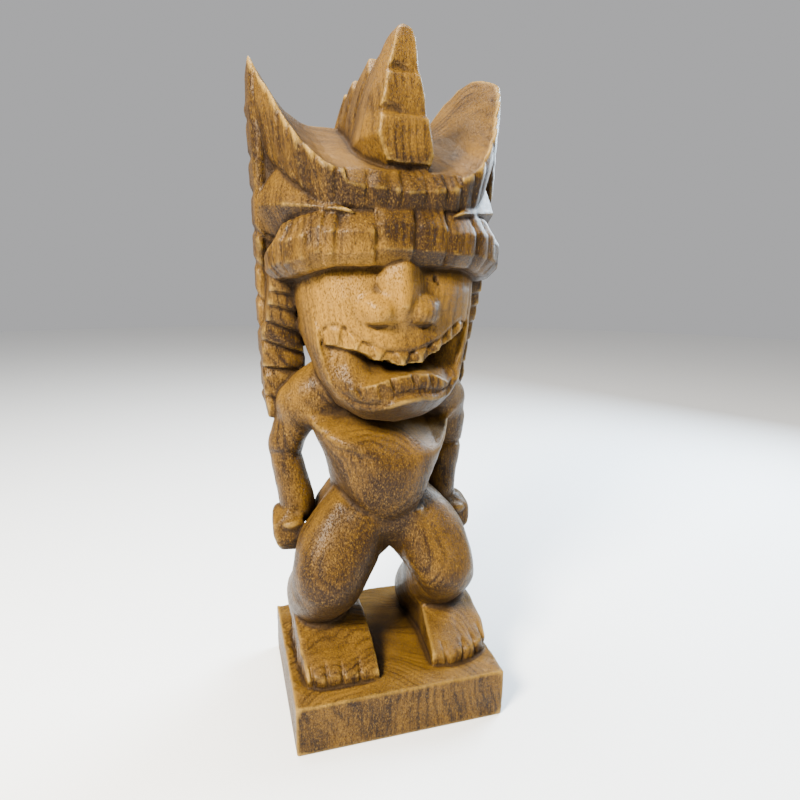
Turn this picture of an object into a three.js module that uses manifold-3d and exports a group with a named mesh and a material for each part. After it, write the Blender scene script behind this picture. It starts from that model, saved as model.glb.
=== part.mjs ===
// Carved wooden tiki statue: a squat figure with a wide grin, a horned headdress and long
// side locks, cut from one block together with its plinth.
// Millimetres, +Z up. The origin is the middle of the underside, the front faces -Y,
// and the figure's right arm is at -X.

import * as THREE from 'three';
import { mergeVertices } from 'three/addons/utils/BufferGeometryUtils.js';
import Module from 'manifold-3d';

const wasm = await Module();
wasm.setup();

// Driving dimensions
const HEIGHT = 508;               // underside to crest tip
const PLINTH_WIDTH = 163;
const PLINTH_DEPTH = 143;
const PLINTH_EDGE = 39;           // height of the front edge
const GROUND = 42;                // carved ground that the feet stand on
const PLINTH_SOFTENING = 0.8;     // worn edges

const FOOT_FRONT = -57;           // toe line
const FOOT_HEEL = 52;
const TOE_HEIGHT = 11;
const INSTEP_HEIGHT = 32;
const FOOT_TURN = 0.11;           // both feet lean the same way, as carved
const FOOT_PAIR_SHIFT = 4;        // the pair stands a little to the figure's left
const FOOT_INNER = 21;
const FOOT_OUTER = 74;

const LEG_SHIFT = -2;             // the legs stand a little to the figure's right
const KNEE = [49, -23, 110];
const KNEE_RADIUS = 28;
const HIP = [25, 12, 160];
const HEEL = [47, 38, 60];

const WAIST = 41;                 // half width
const CHEST = 58;                 // half width at the armpits
const SHOULDER = [66, 22, 246];
const ELBOW = [76, 27, 204];
const WRIST = [68, 22, 156];
const ELBOW_TUCK = 8;             // the figure's left elbow is held closer
const ARM_RADIUS = 14;
const FIST = [75, 20, 145];
const FIST_HALF = [13, 20, 20];

const FACE_HALF = 68;
const FACE_FRONT = -51;
const CHIN = 240;
const FACE_BACK = -2;
const MOUTH_FLOOR = -30;          // back wall of the open mouth
const BAND_REACH = 81;            // half width of the brow band
const BAND_FRONT = -61;
const BAND_MIDDLE = 373;
const BAND_HALF_HEIGHT = 17;

const LOCK_OUTER = 93;            // half width over the side locks
const LOCK_INNER = 57;
const LOCK_FRONT = 25;
const LOCK_BOTTOM = 236;
const NAPE = 302;                 // lower edge of the hair behind the neck
const BACK = 68;                  // hair at the back

const BRIM_HALF = 95;
const BRIM_FRONT = -62;
const BRIM_REAR = 67;
const BRIM_BOTTOM = 389;
const DISH_MIDDLE = 432.5;        // dish height over the origin
const DISH_SLOPE = 0.47;          // the dish rises to the rear
const CREST_HALF = 21;            // half thickness of the crest at its foot
const CREST_TURN = 0.045;         // the crest leans to the figure's right towards the rear
const BEYOND = 120;               // the cutting shapes reach this far from the middle
const ABOVE = HEIGHT + 40;        // and this high

const WOOD = new THREE.MeshStandardMaterial({ color: 0x9c6a32, roughness: 0.48, metalness: 0 });

// A closed geometry becomes a solid that can be joined and cut.
function solid(geometry) {
  geometry.deleteAttribute('normal');
  geometry.deleteAttribute('uv');
  const merged = mergeVertices(geometry, 1e-3);
  const mesh = new wasm.Mesh({
    numProp: 3,
    vertProperties: new Float32Array(merged.attributes.position.array),
    triVerts: new Uint32Array(merged.index.array),
  });
  return new wasm.Manifold(mesh);
}

// The same shape on the other side of the middle plane.
function mirrored(geometry) {
  const copy = geometry.clone().scale(-1, 1, 1);
  if (copy.index) {
    const order = copy.index.array;
    for (let i = 0; i < order.length; i += 3) {
      [order[i], order[i + 1]] = [order[i + 1], order[i]];
    }
    return copy;
  }
  const spots = copy.attributes.position;
  const corner = new THREE.Vector3();
  const other = new THREE.Vector3();
  for (let i = 0; i < spots.count; i += 3) {
    corner.fromBufferAttribute(spots, i);
    other.fromBufferAttribute(spots, i + 1);
    spots.setXYZ(i, other.x, other.y, other.z);
    spots.setXYZ(i + 1, corner.x, corner.y, corner.z);
  }
  return copy;
}

function pair(geometry) {
  return solid(mirrored(geometry)).add(solid(geometry));
}

function joined(solids) {
  return solids.reduce((all, one) => all.add(one));
}

function outline(points) {
  return new THREE.Shape(points.map(([u, v]) => new THREE.Vector2(u, v)));
}

// Smooth outline through its points.
function softOutline(points, count) {
  const curve = new THREE.CatmullRomCurve3(points.map(([u, v]) => new THREE.Vector3(u, v, 0)), true);
  return new THREE.Shape(curve.getPoints(count).slice(0, -1).map((p) => new THREE.Vector2(p.x, p.y)));
}

// Side view outline (y, z), cut straight across from x0 to x1.
function sideCut(shape, x0, x1) {
  const geometry = new THREE.ExtrudeGeometry(shape, { depth: x1 - x0, bevelEnabled: false });
  const turn = new THREE.Matrix4().makeBasis(
    new THREE.Vector3(0, 1, 0), new THREE.Vector3(0, 0, 1), new THREE.Vector3(1, 0, 0));
  return geometry.applyMatrix4(turn).translate(x0, 0, 0);
}

// Front view outline (x, z), cut straight through from y0 to y1.
function frontCut(shape, y0, y1) {
  const geometry = new THREE.ExtrudeGeometry(shape, { depth: y1 - y0, bevelEnabled: false });
  return geometry.rotateX(Math.PI / 2).translate(0, y1, 0);
}

// Plan outline (x, y), cut straight down between z0 and z1.
function planCut(shape, z0, z1) {
  return new THREE.ExtrudeGeometry(shape, { depth: z1 - z0, bevelEnabled: false }).translate(0, 0, z0);
}

// Value at t from a list of [position, value] pairs, eased between them.
function along(pairs, t) {
  if (t <= pairs[0][0]) return pairs[0][1];
  for (let i = 1; i < pairs.length; i += 1) {
    const [t1, v1] = pairs[i];
    const [t0, v0] = pairs[i - 1];
    if (t <= t1) return v0 + (v1 - v0) * THREE.MathUtils.smoothstep(t, t0, t1);
  }
  return pairs[pairs.length - 1][1];
}

// The same with straight lines between the pairs.
function straight(pairs, t) {
  if (t <= pairs[0][0]) return pairs[0][1];
  for (let i = 1; i < pairs.length; i += 1) {
    const [t1, v1] = pairs[i];
    const [t0, v0] = pairs[i - 1];
    if (t <= t1) return v0 + ((v1 - v0) * (t - t0)) / (t1 - t0);
  }
  return pairs[pairs.length - 1][1];
}

// A rounded body stretched along a path: half widths a (across) and b (fore and aft) at
// each stop, and fullness 2 for ball ends up to 6 for nearly flat ones.
function pod(stops, halfWidths, fullness, sides = 18, rows = 12) {
  const path = new THREE.CatmullRomCurve3(stops.map((s) => new THREE.Vector3(...s)));
  const geometry = new THREE.SphereGeometry(1, sides, rows);
  const spots = geometry.attributes.position;
  const across = new THREE.Vector3();
  const fore = new THREE.Vector3();
  for (let i = 0; i < spots.count; i += 1) {
    const reach = THREE.MathUtils.clamp((1 - spots.getY(i)) / 2, 0, 1);
    const x = spots.getX(i);
    const z = spots.getZ(i);
    const length = Math.hypot(x, z);
    const size = length < 1e-6 ? 0 : (1 - Math.abs(2 * reach - 1) ** fullness) ** (1 / fullness) / length;
    const tangent = path.getTangent(reach);
    across.set(1, 0, 0).addScaledVector(tangent, -tangent.x).normalize();
    fore.crossVectors(across, tangent);
    const [a, b] = halfWidths.map((list) => along(list, reach));
    const spot = path.getPoint(reach);
    spot.addScaledVector(across, x * size * a).addScaledVector(fore, -z * size * b);
    spots.setXYZ(i, spot.x, spot.y, spot.z);
  }
  return geometry;
}

// Horizontal rounded sections stacked up: each level is [z, halfWidth, front, back, squareness].
function stack(levels, sides = 32, rows = 16) {
  const geometry = new THREE.CylinderGeometry(1, 1, 1, sides, rows);
  const spots = geometry.attributes.position;
  const column = (k) => levels.map((level) => [level[0], level[k]]);
  const [low, high] = [levels[0][0], levels[levels.length - 1][0]];
  for (let i = 0; i < spots.count; i += 1) {
    const z = low + (high - low) * (spots.getY(i) + 0.5);
    const front = along(column(2), z);
    const back = along(column(3), z);
    const power = 2 / along(column(4), z);
    const x = spots.getX(i);
    const y = -spots.getZ(i);
    const soft = (v) => Math.sign(v) * Math.abs(v) ** power;
    spots.setXYZ(i, soft(x) * along(column(1), z), (front + back) / 2 + (soft(y) * (back - front)) / 2, z);
  }
  return geometry;
}

// Plinth with the carved ground, and a front strip that falls to the edge.
function plinth() {
  const half = PLINTH_DEPTH / 2;
  const worn = PLINTH_SOFTENING;
  const side = outline([
    [-half + worn, 0], [half - worn, 0], [half, worn], [half, GROUND - worn], [half - worn, GROUND],
    [FOOT_FRONT, GROUND], [-half + worn, PLINTH_EDGE], [-half, PLINTH_EDGE - worn], [-half, worn],
  ]);
  return solid(sideCut(side, -PLINTH_WIDTH / 2, PLINTH_WIDTH / 2));
}

// A wedge that rises from the toes to the instep under the knee, narrower at the heel.
function foot(sign) {
  const side = outline([
    [FOOT_FRONT, GROUND - 4], [FOOT_HEEL, GROUND - 4], [FOOT_HEEL, GROUND + 24],
    [0, GROUND + INSTEP_HEIGHT], [-12, GROUND + INSTEP_HEIGHT - 3],
    [FOOT_FRONT + 7, GROUND + TOE_HEIGHT + 3], [FOOT_FRONT + 1, GROUND + TOE_HEIGHT - 2],
  ]);
  const inner = sign * FOOT_INNER;
  const outer = sign * FOOT_OUTER;
  const lean = (x, y) => x + FOOT_PAIR_SHIFT + FOOT_TURN * (y - FOOT_FRONT);
  const splay = sign > 0 ? 6 : 0;
  const plan = softOutline([
    [lean(inner, FOOT_FRONT), FOOT_FRONT - 1], [lean(inner, FOOT_HEEL), FOOT_HEEL],
    [lean((inner + outer) / 2, FOOT_HEEL), FOOT_HEEL + 3], [lean(outer * 0.86, FOOT_HEEL) - 4, FOOT_HEEL],
    [lean(outer, -10) - 3 - splay, -10], [lean(outer, -48), -48], [lean(outer * 0.8, FOOT_FRONT), FOOT_FRONT - 1],
  ], 36);
  return solid(sideCut(side, -BEYOND, BEYOND)).intersect(solid(planCut(plan, 0, ABOVE)));
}

function legs() {
  const thigh = pod([HIP, [35, -5, 140], KNEE, [49, -23, 80]], [
    [[0, 24], [0.35, 32], [0.65, KNEE_RADIUS], [1, 26]],
    [[0, 34], [0.6, KNEE_RADIUS], [1, 25]],
  ], 2.6, 20, 14);
  const shin = pod([[48, -12, 98], [47, 14, 80], HEEL], [
    [[0, 29], [1, 26]],
    [[0, 26], [1, 22]],
  ], 4.2, 16, 10);
  const buttock = pod([[25, 30, 178], [28, 32, 148], [33, 26, 112]], [
    [[0, 26], [1, 26]],
    [[0, 24], [1, 24]],
  ], 2.4, 14, 9);
  return joined([pair(thigh), pair(shin), pair(buttock)]).translate([LEG_SHIFT, 0, 0]);
}

function torso() {
  return solid(stack([
    [128, 20, -10, 36, 2.2],
    [150, 40, -22, 48, 2.3],
    [172, WAIST, -29, 44, 2.3],
    [190, WAIST + 1, -34, 40, 2.2],
    [210, 48, -39, 38, 2.2],
    [230, CHEST, -37, 38, 2.3],
    [248, CHEST + 2, -28, 40, 2.4],
    [266, 50, -20, 42, 2.4],
    [284, 36, -16, 42, 2.2],
    [306, 38, -16, 44, 2.2],
  ], 28, 16));
}

// Shoulders that slope from the neck to the arms.
function yoke() {
  return solid(pod([[-66, 18, 248], [-36, 12, 262], [0, 10, 268], [36, 12, 262], [64, 18, 248]], [
    [[0, 20], [0.5, 24], [1, 20]],
    [[0, 20], [0.5, 27], [1, 20]],
  ], 3, 14, 14));
}

function arm(tuck) {
  const limb = pod([[50, 14, 262], SHOULDER, [ELBOW[0] - tuck, ELBOW[1], ELBOW[2]], WRIST], [
    [[0, ARM_RADIUS + 6], [0.5, ARM_RADIUS], [1, ARM_RADIUS + 1]],
    [[0, 24], [0.5, ARM_RADIUS + 2], [1, ARM_RADIUS]],
  ], 3.6, 14, 14);
  const cap = pod([[54, 17, 270], [65, 21, 250], [71 - tuck / 3, 24, 222]], [
    [[0, 22], [0.5, 18], [1, 14]],
    [[0, 19], [1, 17]],
  ], 2.4, 14, 9);
  const [x, y, z] = FIST;
  const [a, b, c] = FIST_HALF;
  const fist = pod([[x - 3, y, z + c], [x, y, z], [x - 1, y, z - c]], [
    [[0, a - 2], [0.5, a], [1, a - 2]],
    [[0, b - 2], [1, b - 3]],
  ], 4, 10, 7);
  return [limb, cap, fist];
}

function arms() {
  const right = arm(0).map((piece) => solid(mirrored(piece)));
  const left = arm(ELBOW_TUCK).map((piece) => solid(piece));
  return joined([...right, ...left]);
}

// The head behind the face, down to the nape.
function headCore() {
  return solid(stack([
    [292, 42, -22, 50, 2.6],
    [312, 58, -22, 60, 3],
    [400, 66, -30, 62, 3.4],
    [446, 66, -20, 62, 3.4],
  ], 28, 8));
}

// Mask-like face: front outline, side profile and plan arc cut one through the other.
function face() {
  const half = FACE_HALF;
  const front = softOutline([
    [0, CHIN], [24, CHIN + 2], [41, CHIN + 13], [54, CHIN + 34], [62, CHIN + 58], [half, CHIN + 92],
    [half, 385], [40, 392], [0, 392], [-40, 392], [-half, 385],
    [-half, CHIN + 92], [-62, CHIN + 58], [-54, CHIN + 34], [-41, CHIN + 13], [-24, CHIN + 2],
  ], 48);
  const side = outline([
    [FACE_BACK, 392], [FACE_FRONT + 4, 392], [FACE_FRONT, 350], [FACE_FRONT - 1, 318],
    [FACE_FRONT - 4, 296], [FACE_FRONT - 3, 284], [FACE_FRONT - 7, 270], [FACE_FRONT - 5, 252],
    [FACE_FRONT + 4, CHIN], [-18, CHIN + 3], [FACE_BACK, CHIN + 26],
  ]);
  const plan = softOutline([
    [0, -60], [30, -54], [50, -40], [64, -24], [half + 1, -8], [half, 4], [0, 6],
    [-half, 4], [-half - 1, -8], [-64, -24], [-50, -40], [-30, -54],
  ], 40);
  const block = solid(frontCut(front, -BEYOND, BEYOND)).intersect(solid(sideCut(side, -BEYOND, BEYOND)));
  const mask = block.intersect(solid(planCut(plan, 0, ABOVE)));
  const mouth = softOutline([
    [0, 292], [26, 298], [44, 310], [51, 316], [51, 296], [42, 276], [28, 268],
    [12, 270], [0, 271], [-12, 270],
    [-28, 268], [-42, 276], [-51, 296], [-51, 316], [-44, 310], [-26, 298],
  ], 48);
  return mask.subtract(solid(frontCut(mouth, -BEYOND, MOUTH_FLOOR)));
}

// The two rows of teeth as plain curved strips set into the mouth.
function teeth() {
  const row = (corner, quarter, middle, h) => band(
    [corner, quarter, middle, [-quarter[0], quarter[1], quarter[2]], [-corner[0], corner[1], corner[2]]],
    [[-16, h], [0, h], [2, -h], [-16, -h]], [[0, 0.6], [0.25, 1], [0.75, 1], [1, 0.6]], 16);
  const upper = row([-48, -38, 312], [-27, -50, 298], [0, FACE_FRONT - 3, 291], 7);
  const lower = row([-42, -42, 272], [-24, -52, 267], [0, FACE_FRONT - 5, 272], 7);
  return solid(upper).add(solid(lower));
}

function nose() {
  const bridge = pod([[0, -49, 362], [0, -54, 345], [0, -63, 322]], [
    [[0, 7], [0.5, 9], [1, 13]],
    [[0, 6], [1, 10]],
  ], 2.4, 12, 8);
  const wing = pod([[6, -60, 322], [16, -57, 320], [28, -50, 322]], [
    [[0, 12], [1, 10]],
    [[0, 11], [1, 9]],
  ], 2.2, 12, 8);
  return solid(bridge).add(pair(wing));
}

// A body carried round the front in plan, as a band is: the section is given as
// [outward, up] corners, and the path as [x, y, z] stops.
function band(stops, section, scale, steps = 30) {
  const path = new THREE.CatmullRomCurve3(stops.map((s) => new THREE.Vector3(...s)));
  const geometry = new THREE.CylinderGeometry(1, 1, 1, section.length, steps);
  const spots = geometry.attributes.position;
  const up = new THREE.Vector3(0, 0, 1);
  const out = new THREE.Vector3();
  for (let i = 0; i < spots.count; i += 1) {
    const t = spots.getY(i) + 0.5;
    const angle = Math.atan2(spots.getX(i), spots.getZ(i));
    const corner = Math.round((angle / (2 * Math.PI)) * section.length + section.length) % section.length;
    const hub = Math.hypot(spots.getX(i), spots.getZ(i)) < 0.5;
    const [o, u] = hub ? [0, 0] : section[corner];
    const tangent = path.getTangentAt(t);
    out.crossVectors(tangent, up).normalize();
    const size = along(scale, t);
    const spot = path.getPointAt(t).addScaledVector(out, o * size).addScaledVector(up, u * size);
    spots.setXYZ(i, spot.x, spot.y, spot.z);
  }
  return geometry;
}

function browBand() {
  const h = BAND_HALF_HEIGHT;
  const stops = [
    [-BAND_REACH + 1, -6, BAND_MIDDLE - 15], [-BAND_REACH + 4, -24, BAND_MIDDLE - 10],
    [-62, -44, BAND_MIDDLE - 2], [-34, BAND_FRONT + 8, BAND_MIDDLE], [0, BAND_FRONT + 5, BAND_MIDDLE],
    [34, BAND_FRONT + 8, BAND_MIDDLE], [62, -44, BAND_MIDDLE - 2],
    [BAND_REACH - 4, -24, BAND_MIDDLE - 10], [BAND_REACH - 1, -6, BAND_MIDDLE - 15],
  ];
  const section = [[-16, h], [1, h], [8, 5], [8, -5], [3, -h], [-16, -h]];
  return solid(band(stops, section, [[0, 0.75], [0.18, 1], [0.82, 1], [1, 0.75]]));
}

// Faceted wedge between the brim and the brow band.
function templeBlocks() {
  const front = outline([[42, 390], [60, 402], [77, 413], [91, 402], [83, 379], [70, 372], [50, 384]].reverse());
  const plan = softOutline([[38, -46], [60, -42], [77, -27], [90, -6], [91, 14], [60, 20], [30, 0]].reverse(), 24);
  const block = solid(frontCut(front, -BEYOND, BEYOND));
  const shape = planCut(plan, 0, ABOVE);
  const other = mirrored(frontCut(front, -BEYOND, BEYOND));
  return block.intersect(solid(shape)).add(solid(other).intersect(solid(mirrored(shape))));
}

// Hair: a slab down the back that leaves the nape free and falls as a lock at each side.
function hair() {
  const half = LOCK_OUTER;
  const front = outline([
    [-half - 2, 462], [-half - 1, 400], [-half + 1, 330], [-half + 3, LOCK_BOTTOM + 10],
    [-half + 8, LOCK_BOTTOM], [-LOCK_INNER - 6, LOCK_BOTTOM + 8], [-LOCK_INNER, 262],
    [-LOCK_INNER + 1, NAPE - 8], [-LOCK_INNER + 10, NAPE],
    [LOCK_INNER - 10, NAPE], [LOCK_INNER - 1, NAPE - 8], [LOCK_INNER, 262],
    [LOCK_INNER + 6, LOCK_BOTTOM + 8], [half - 17, LOCK_BOTTOM], [half - 13, LOCK_BOTTOM + 10],
    [half - 7, 330], [half - 1, 400], [half + 2, 462],
  ]);
  const side = outline([
    [LOCK_FRONT + 6, LOCK_BOTTOM - 2], [BACK - 12, LOCK_BOTTOM - 2], [BACK - 3, 300], [BACK, 380],
    [BACK, 466], [0, 466], [4, 400], [14, 372], [LOCK_FRONT, 350], [LOCK_FRONT, 262],
  ]);
  const plan = softOutline([
    [half - 12, -2], [half + 2, 20], [half + 1, 48], [half - 14, BACK - 4], [40, BACK], [0, BACK + 1],
    [-40, BACK], [-half + 14, BACK - 4], [-half - 1, 48], [-half - 2, 20], [-half + 12, -2], [0, -6],
  ], 40);
  const slab = solid(frontCut(front, -BEYOND, BEYOND)).intersect(solid(sideCut(side, -BEYOND, BEYOND)));
  return slab.intersect(solid(planCut(plan, 0, ABOVE)));
}

// Short strands that come out under the ends of the brow band.
function strands() {
  const [x, y, z] = [BAND_REACH, -8, BAND_MIDDLE];
  const strand = pod([[x, y, z - 10], [x, y + 10, z - 28], [x - 8, y + 20, z - 50]], [
    [[0, 8], [1, 6]],
    [[0, 16], [1, 10]],
  ], 2.4, 10, 7);
  return pair(strand);
}

// Headdress: an upturned brim with a horn at each side, hollowed by a dish that rises to the rear.
function headdress() {
  const h = BRIM_HALF;
  const front = outline([
    [0, BRIM_BOTTOM], [38, BRIM_BOTTOM + 1], [52, BRIM_BOTTOM + 4], [62, BRIM_BOTTOM + 10],
    [73, BRIM_BOTTOM + 22], [83, BRIM_BOTTOM + 35], [90, BRIM_BOTTOM + 50], [h - 1, BRIM_BOTTOM + 66],
    [h + 1, BRIM_BOTTOM + 82], [h, BRIM_BOTTOM + 96], [h - 3, HEIGHT - 4],
    [-h + 3, HEIGHT - 4], [-h, BRIM_BOTTOM + 96], [-h - 1, BRIM_BOTTOM + 82],
    [-h + 1, BRIM_BOTTOM + 66], [-90, BRIM_BOTTOM + 50], [-83, BRIM_BOTTOM + 35],
    [-73, BRIM_BOTTOM + 22], [-62, BRIM_BOTTOM + 10], [-52, BRIM_BOTTOM + 4], [-38, BRIM_BOTTOM + 1],
  ]);
  const side = outline([
    [BRIM_FRONT - 2, BRIM_BOTTOM - 2], [BRIM_REAR - 8, BRIM_BOTTOM - 2], [BRIM_REAR, 452],
    [BRIM_REAR + 1, 488], [BRIM_REAR - 8, 501], [44, HEIGHT - 3], [30, HEIGHT - 7],
    [14, 494], [-4, 483], [-30, 466], [BRIM_FRONT + 2, 440], [BRIM_FRONT - 2, 410],
  ]);
  const plan = softOutline([
    [0, BRIM_FRONT], [36, BRIM_FRONT + 2], [57, -54], [71, -42], [83, -20], [h - 1, 4], [h + 1, 26],
    [h - 4, 52], [h - 18, BRIM_REAR], [0, BRIM_REAR + 1],
    [-h + 18, BRIM_REAR], [-h + 4, 52], [-h - 1, 26], [-h + 1, 4], [-83, -20], [-71, -42], [-57, -54],
    [-36, BRIM_FRONT + 2],
  ], 56);
  const block = solid(frontCut(front, -BEYOND, BEYOND)).intersect(solid(sideCut(side, -BEYOND, BEYOND)));
  return block.intersect(solid(planCut(plan, 0, ABOVE)));
}

// How far the dish rises towards its sides, over its middle.
const DISH_RISE = [[0, 0], [32, 1], [47, 4], [53, 6], [62, 13], [68, 20], [75, 28], [84, 40], [91, 51], [96, 62]];

// The air over the dish: columns of a grid that follows the sloping floor.
function dish() {
  const columns = 26;
  const geometry = new THREE.BoxGeometry(2 * BEYOND, 2 * BEYOND, 1, columns, 1, 1);
  const spots = geometry.attributes.position;
  for (let i = 0; i < spots.count; i += 1) {
    const y = spots.getY(i);
    const floor = DISH_MIDDLE + DISH_SLOPE * y + straight(DISH_RISE, Math.abs(spots.getX(i)));
    spots.setZ(i, spots.getZ(i) < 0 ? floor : ABOVE + BEYOND);
  }
  return solid(geometry);
}

// Crest: a thick fin with a tall front spike and three lower ones behind it.
function crest() {
  const side = outline([
    [-50, 400], [-53, 420], [-51, 452], [-46, 455], [-51, 459], [-50, 478], [-46, 481], [-49, 484],
    [-47, 500], [-43, HEIGHT - 1], [-38, HEIGHT], [-33, HEIGHT - 3], [-18, 495], [1, 487],
    [15, 503], [32, 484], [46, 496], [54, 485], [62, 490], [70, 474], [73, 450], [70, 420],
  ].reverse());
  const [front, length, foot, tall] = [-60, 140, 395, 120];
  const fin = new THREE.BoxGeometry(2, length, tall, 2, 1, 6);
  fin.translate(0, front + length / 2, foot + tall / 2);
  const spots = fin.attributes.position;
  for (let i = 0; i < spots.count; i += 1) {
    const z = spots.getZ(i);
    const narrow = straight([[420, CREST_HALF], [455, 16], [482, 9], [515, 4]], z);
    const wide = straight([[420, CREST_HALF], [465, 19], [490, 13], [515, 6]], z);
    const rear = (spots.getY(i) - front) / length;
    const lean = -CREST_TURN * (spots.getY(i) - front / 2);
    spots.setX(i, lean + spots.getX(i) * (narrow + (wide - narrow) * rear));
  }
  return solid(sideCut(side, -BEYOND, BEYOND)).intersect(solid(fin));
}

function statue() {
  const head = joined([headCore(), hair(), headdress()]).subtract(dish());
  const whole = joined([
    plinth(), foot(-1), foot(1), legs(), torso(), yoke(), arms(), head, face(), teeth(), nose(),
    browBand(), strands(), templeBlocks(), crest(),
  ]);
  const cut = whole.getMesh();
  const geometry = new THREE.BufferGeometry();
  geometry.setAttribute('position', new THREE.BufferAttribute(new Float32Array(cut.vertProperties), 3));
  geometry.setIndex(new THREE.BufferAttribute(new Uint32Array(cut.triVerts), 1));
  geometry.computeVertexNormals();
  const mesh = new THREE.Mesh(geometry, WOOD);
  mesh.name = 'tiki_statue';
  return mesh;
}

const figure = new THREE.Group();
figure.add(statue());

export default figure;
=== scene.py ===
"""Carved wooden tiki statue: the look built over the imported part.

The statue is one block of wood with open gaps between its limbs, so it can't be one grid of two
parameters. It is carved here as a field of distances instead: an even grid of samples, each holding
the distance to the wood, below zero inside. Every part is a formula on the samples round it, parts
melt into each other where the carver left a soft join, and grooves are added to the distance. The
skin is then drawn through zero. The sculpt works in millimetres, with the same axes as the part.
"""

import math

import bpy
import numpy as np
from mathutils import Matrix, Vector

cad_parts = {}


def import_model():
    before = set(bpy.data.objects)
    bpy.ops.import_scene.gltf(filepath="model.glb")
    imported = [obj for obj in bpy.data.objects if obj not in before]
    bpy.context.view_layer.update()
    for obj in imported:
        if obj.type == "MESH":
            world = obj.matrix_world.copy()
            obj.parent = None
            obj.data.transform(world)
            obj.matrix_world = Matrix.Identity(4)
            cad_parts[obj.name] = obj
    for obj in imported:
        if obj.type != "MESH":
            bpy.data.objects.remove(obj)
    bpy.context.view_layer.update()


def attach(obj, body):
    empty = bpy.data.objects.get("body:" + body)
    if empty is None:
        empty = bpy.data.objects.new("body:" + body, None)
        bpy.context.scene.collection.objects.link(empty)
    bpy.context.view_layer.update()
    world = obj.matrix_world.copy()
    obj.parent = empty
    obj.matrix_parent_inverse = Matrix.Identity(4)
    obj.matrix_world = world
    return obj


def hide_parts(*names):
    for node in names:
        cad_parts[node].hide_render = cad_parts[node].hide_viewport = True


# Driving sizes of the sculpt, in millimetres
FINE_STEP = 1.25
BLOCK_LOW = (-103.0, -84.0, -5.0)
BLOCK_HIGH = (103.0, 81.0, 515.0)
FAR = 30.0
ADD_MARGIN = 10.0
CUT_MARGIN = 6.0
SEED = 11

PLINTH_HALF = (82.2, 71.5)
PLINTH_TOP = 42.0
PLINTH_EDGE = 39.0
TOE_LINE = -57.0
REAR_RISE = 4.0


# Sculpt: tools

def curve(points, count, closed=False):
    """Curve through the points: on each span, a cubic blend of its two ends and their two neighbours."""
    p = np.asarray(points, float)
    if closed:
        p = np.concatenate([p[-1:], p, p[:2]])
    else:
        p = np.concatenate([2 * p[:1] - p[1:2], p, 2 * p[-1:] - p[-2:-1]])
    spans = len(p) - 3
    u = np.linspace(0, spans, count, endpoint=not closed)
    i = np.minimum(u.astype(int), spans - 1)
    t = (u - i)[:, None]
    a, b, c, d = p[i], p[i + 1], p[i + 2], p[i + 3]
    square, cube = 2 * a - 5 * b + 4 * c - d, 3 * b - a - 3 * c + d
    return 0.5 * (2 * b + (c - a) * t + square * t**2 + cube * t**3)


def both(points):
    """An outline's right half, from top or bottom middle to the other, closed by its mirror image."""
    right = [tuple(p) for p in points]
    left = [(-u, v) for u, v in reversed(right) if abs(u) > 1e-6]
    return right + left


def ramp(x, low, high):
    """Smoothstep from 0 at low to 1 at high."""
    t = np.clip((x - low) / (high - low), 0, 1)
    return t * t * (3 - 2 * t)


def bump(x, middle, width):
    """A rounded hump of height 1, zero past width to either side."""
    return ramp(1 - np.abs(x - middle) / width, 0, 1)


def notch(x, middle, width):
    """A V of depth 1 with straight sides, zero past width to either side."""
    return np.clip(1 - np.abs(x - middle) / width, 0, 1)


def nick(x, middle, steep, gentle):
    """A cut of depth 1 with a steep wall before the middle and a gentle one after it."""
    t = x - middle
    return np.clip(1 - np.where(t < 0, -t / steep, t / gentle), 0, 1)


def along(table, x):
    """The second number of a table's rows at each place x, straight between the rows."""
    return np.interp(x, *zip(*table))


def melt(a, b, soft):
    """Smaller of two distances, blended over a band of the given width."""
    if soft <= 0:
        return np.minimum(a, b)
    h = np.clip(0.5 + 0.5 * (b - a) / soft, 0, 1)
    return b + (a - b) * h - soft * h * (1 - h)


def keep(a, b, soft=0.0):
    """Larger of two distances, blended: what both shapes hold."""
    return -melt(-a, -b, soft)


def flat_distance(points, u, v):
    """Distance to a closed outline in a plane, below zero inside.

    It is the distance to the nearest edge; the count of edges crossed on the way out gives the sign.
    """
    p = np.asarray(points, float)
    q = np.roll(p, -1, axis=0)
    u, v = np.broadcast_arrays(u, v)
    near = np.full(u.shape, 1e12)
    inside = np.zeros(u.shape, bool)
    for (a, b), (c, d) in zip(p, q):
        du, dv = c - a, d - b
        t = np.clip(((u - a) * du + (v - b) * dv) / (du * du + dv * dv + 1e-12), 0, 1)
        near = np.minimum(near, (u - a - t * du) ** 2 + (v - b - t * dv) ** 2)
        if b != d:
            inside ^= ((b > v) != (d > v)) & (u < du * (v - b) / dv + a)
    return np.where(inside, -1.0, 1.0) * np.sqrt(near)


def line_distance(points, *place):
    """Distance to an open chain of straight pieces, and the share of its length at the nearest place."""
    p = np.asarray(points, float)
    steps = np.linalg.norm(np.diff(p, axis=0), axis=1)
    reach = np.concatenate([[0], np.cumsum(steps)]) / max(steps.sum(), 1e-9)
    near, share = 1e12, 0.0
    for a, b, r0, r1 in zip(p[:-1], p[1:], reach[:-1], reach[1:]):
        d = b - a
        t = np.clip(sum((x - s) * k for x, s, k in zip(place, a, d)) / (d @ d + 1e-12), 0, 1)
        gap = sum((x - s - t * k) ** 2 for x, s, k in zip(place, a, d))
        closer = gap < near
        near = np.where(closer, gap, near)
        share = np.where(closer, r0 + (r1 - r0) * t, share)
    return np.sqrt(near), share


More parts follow.
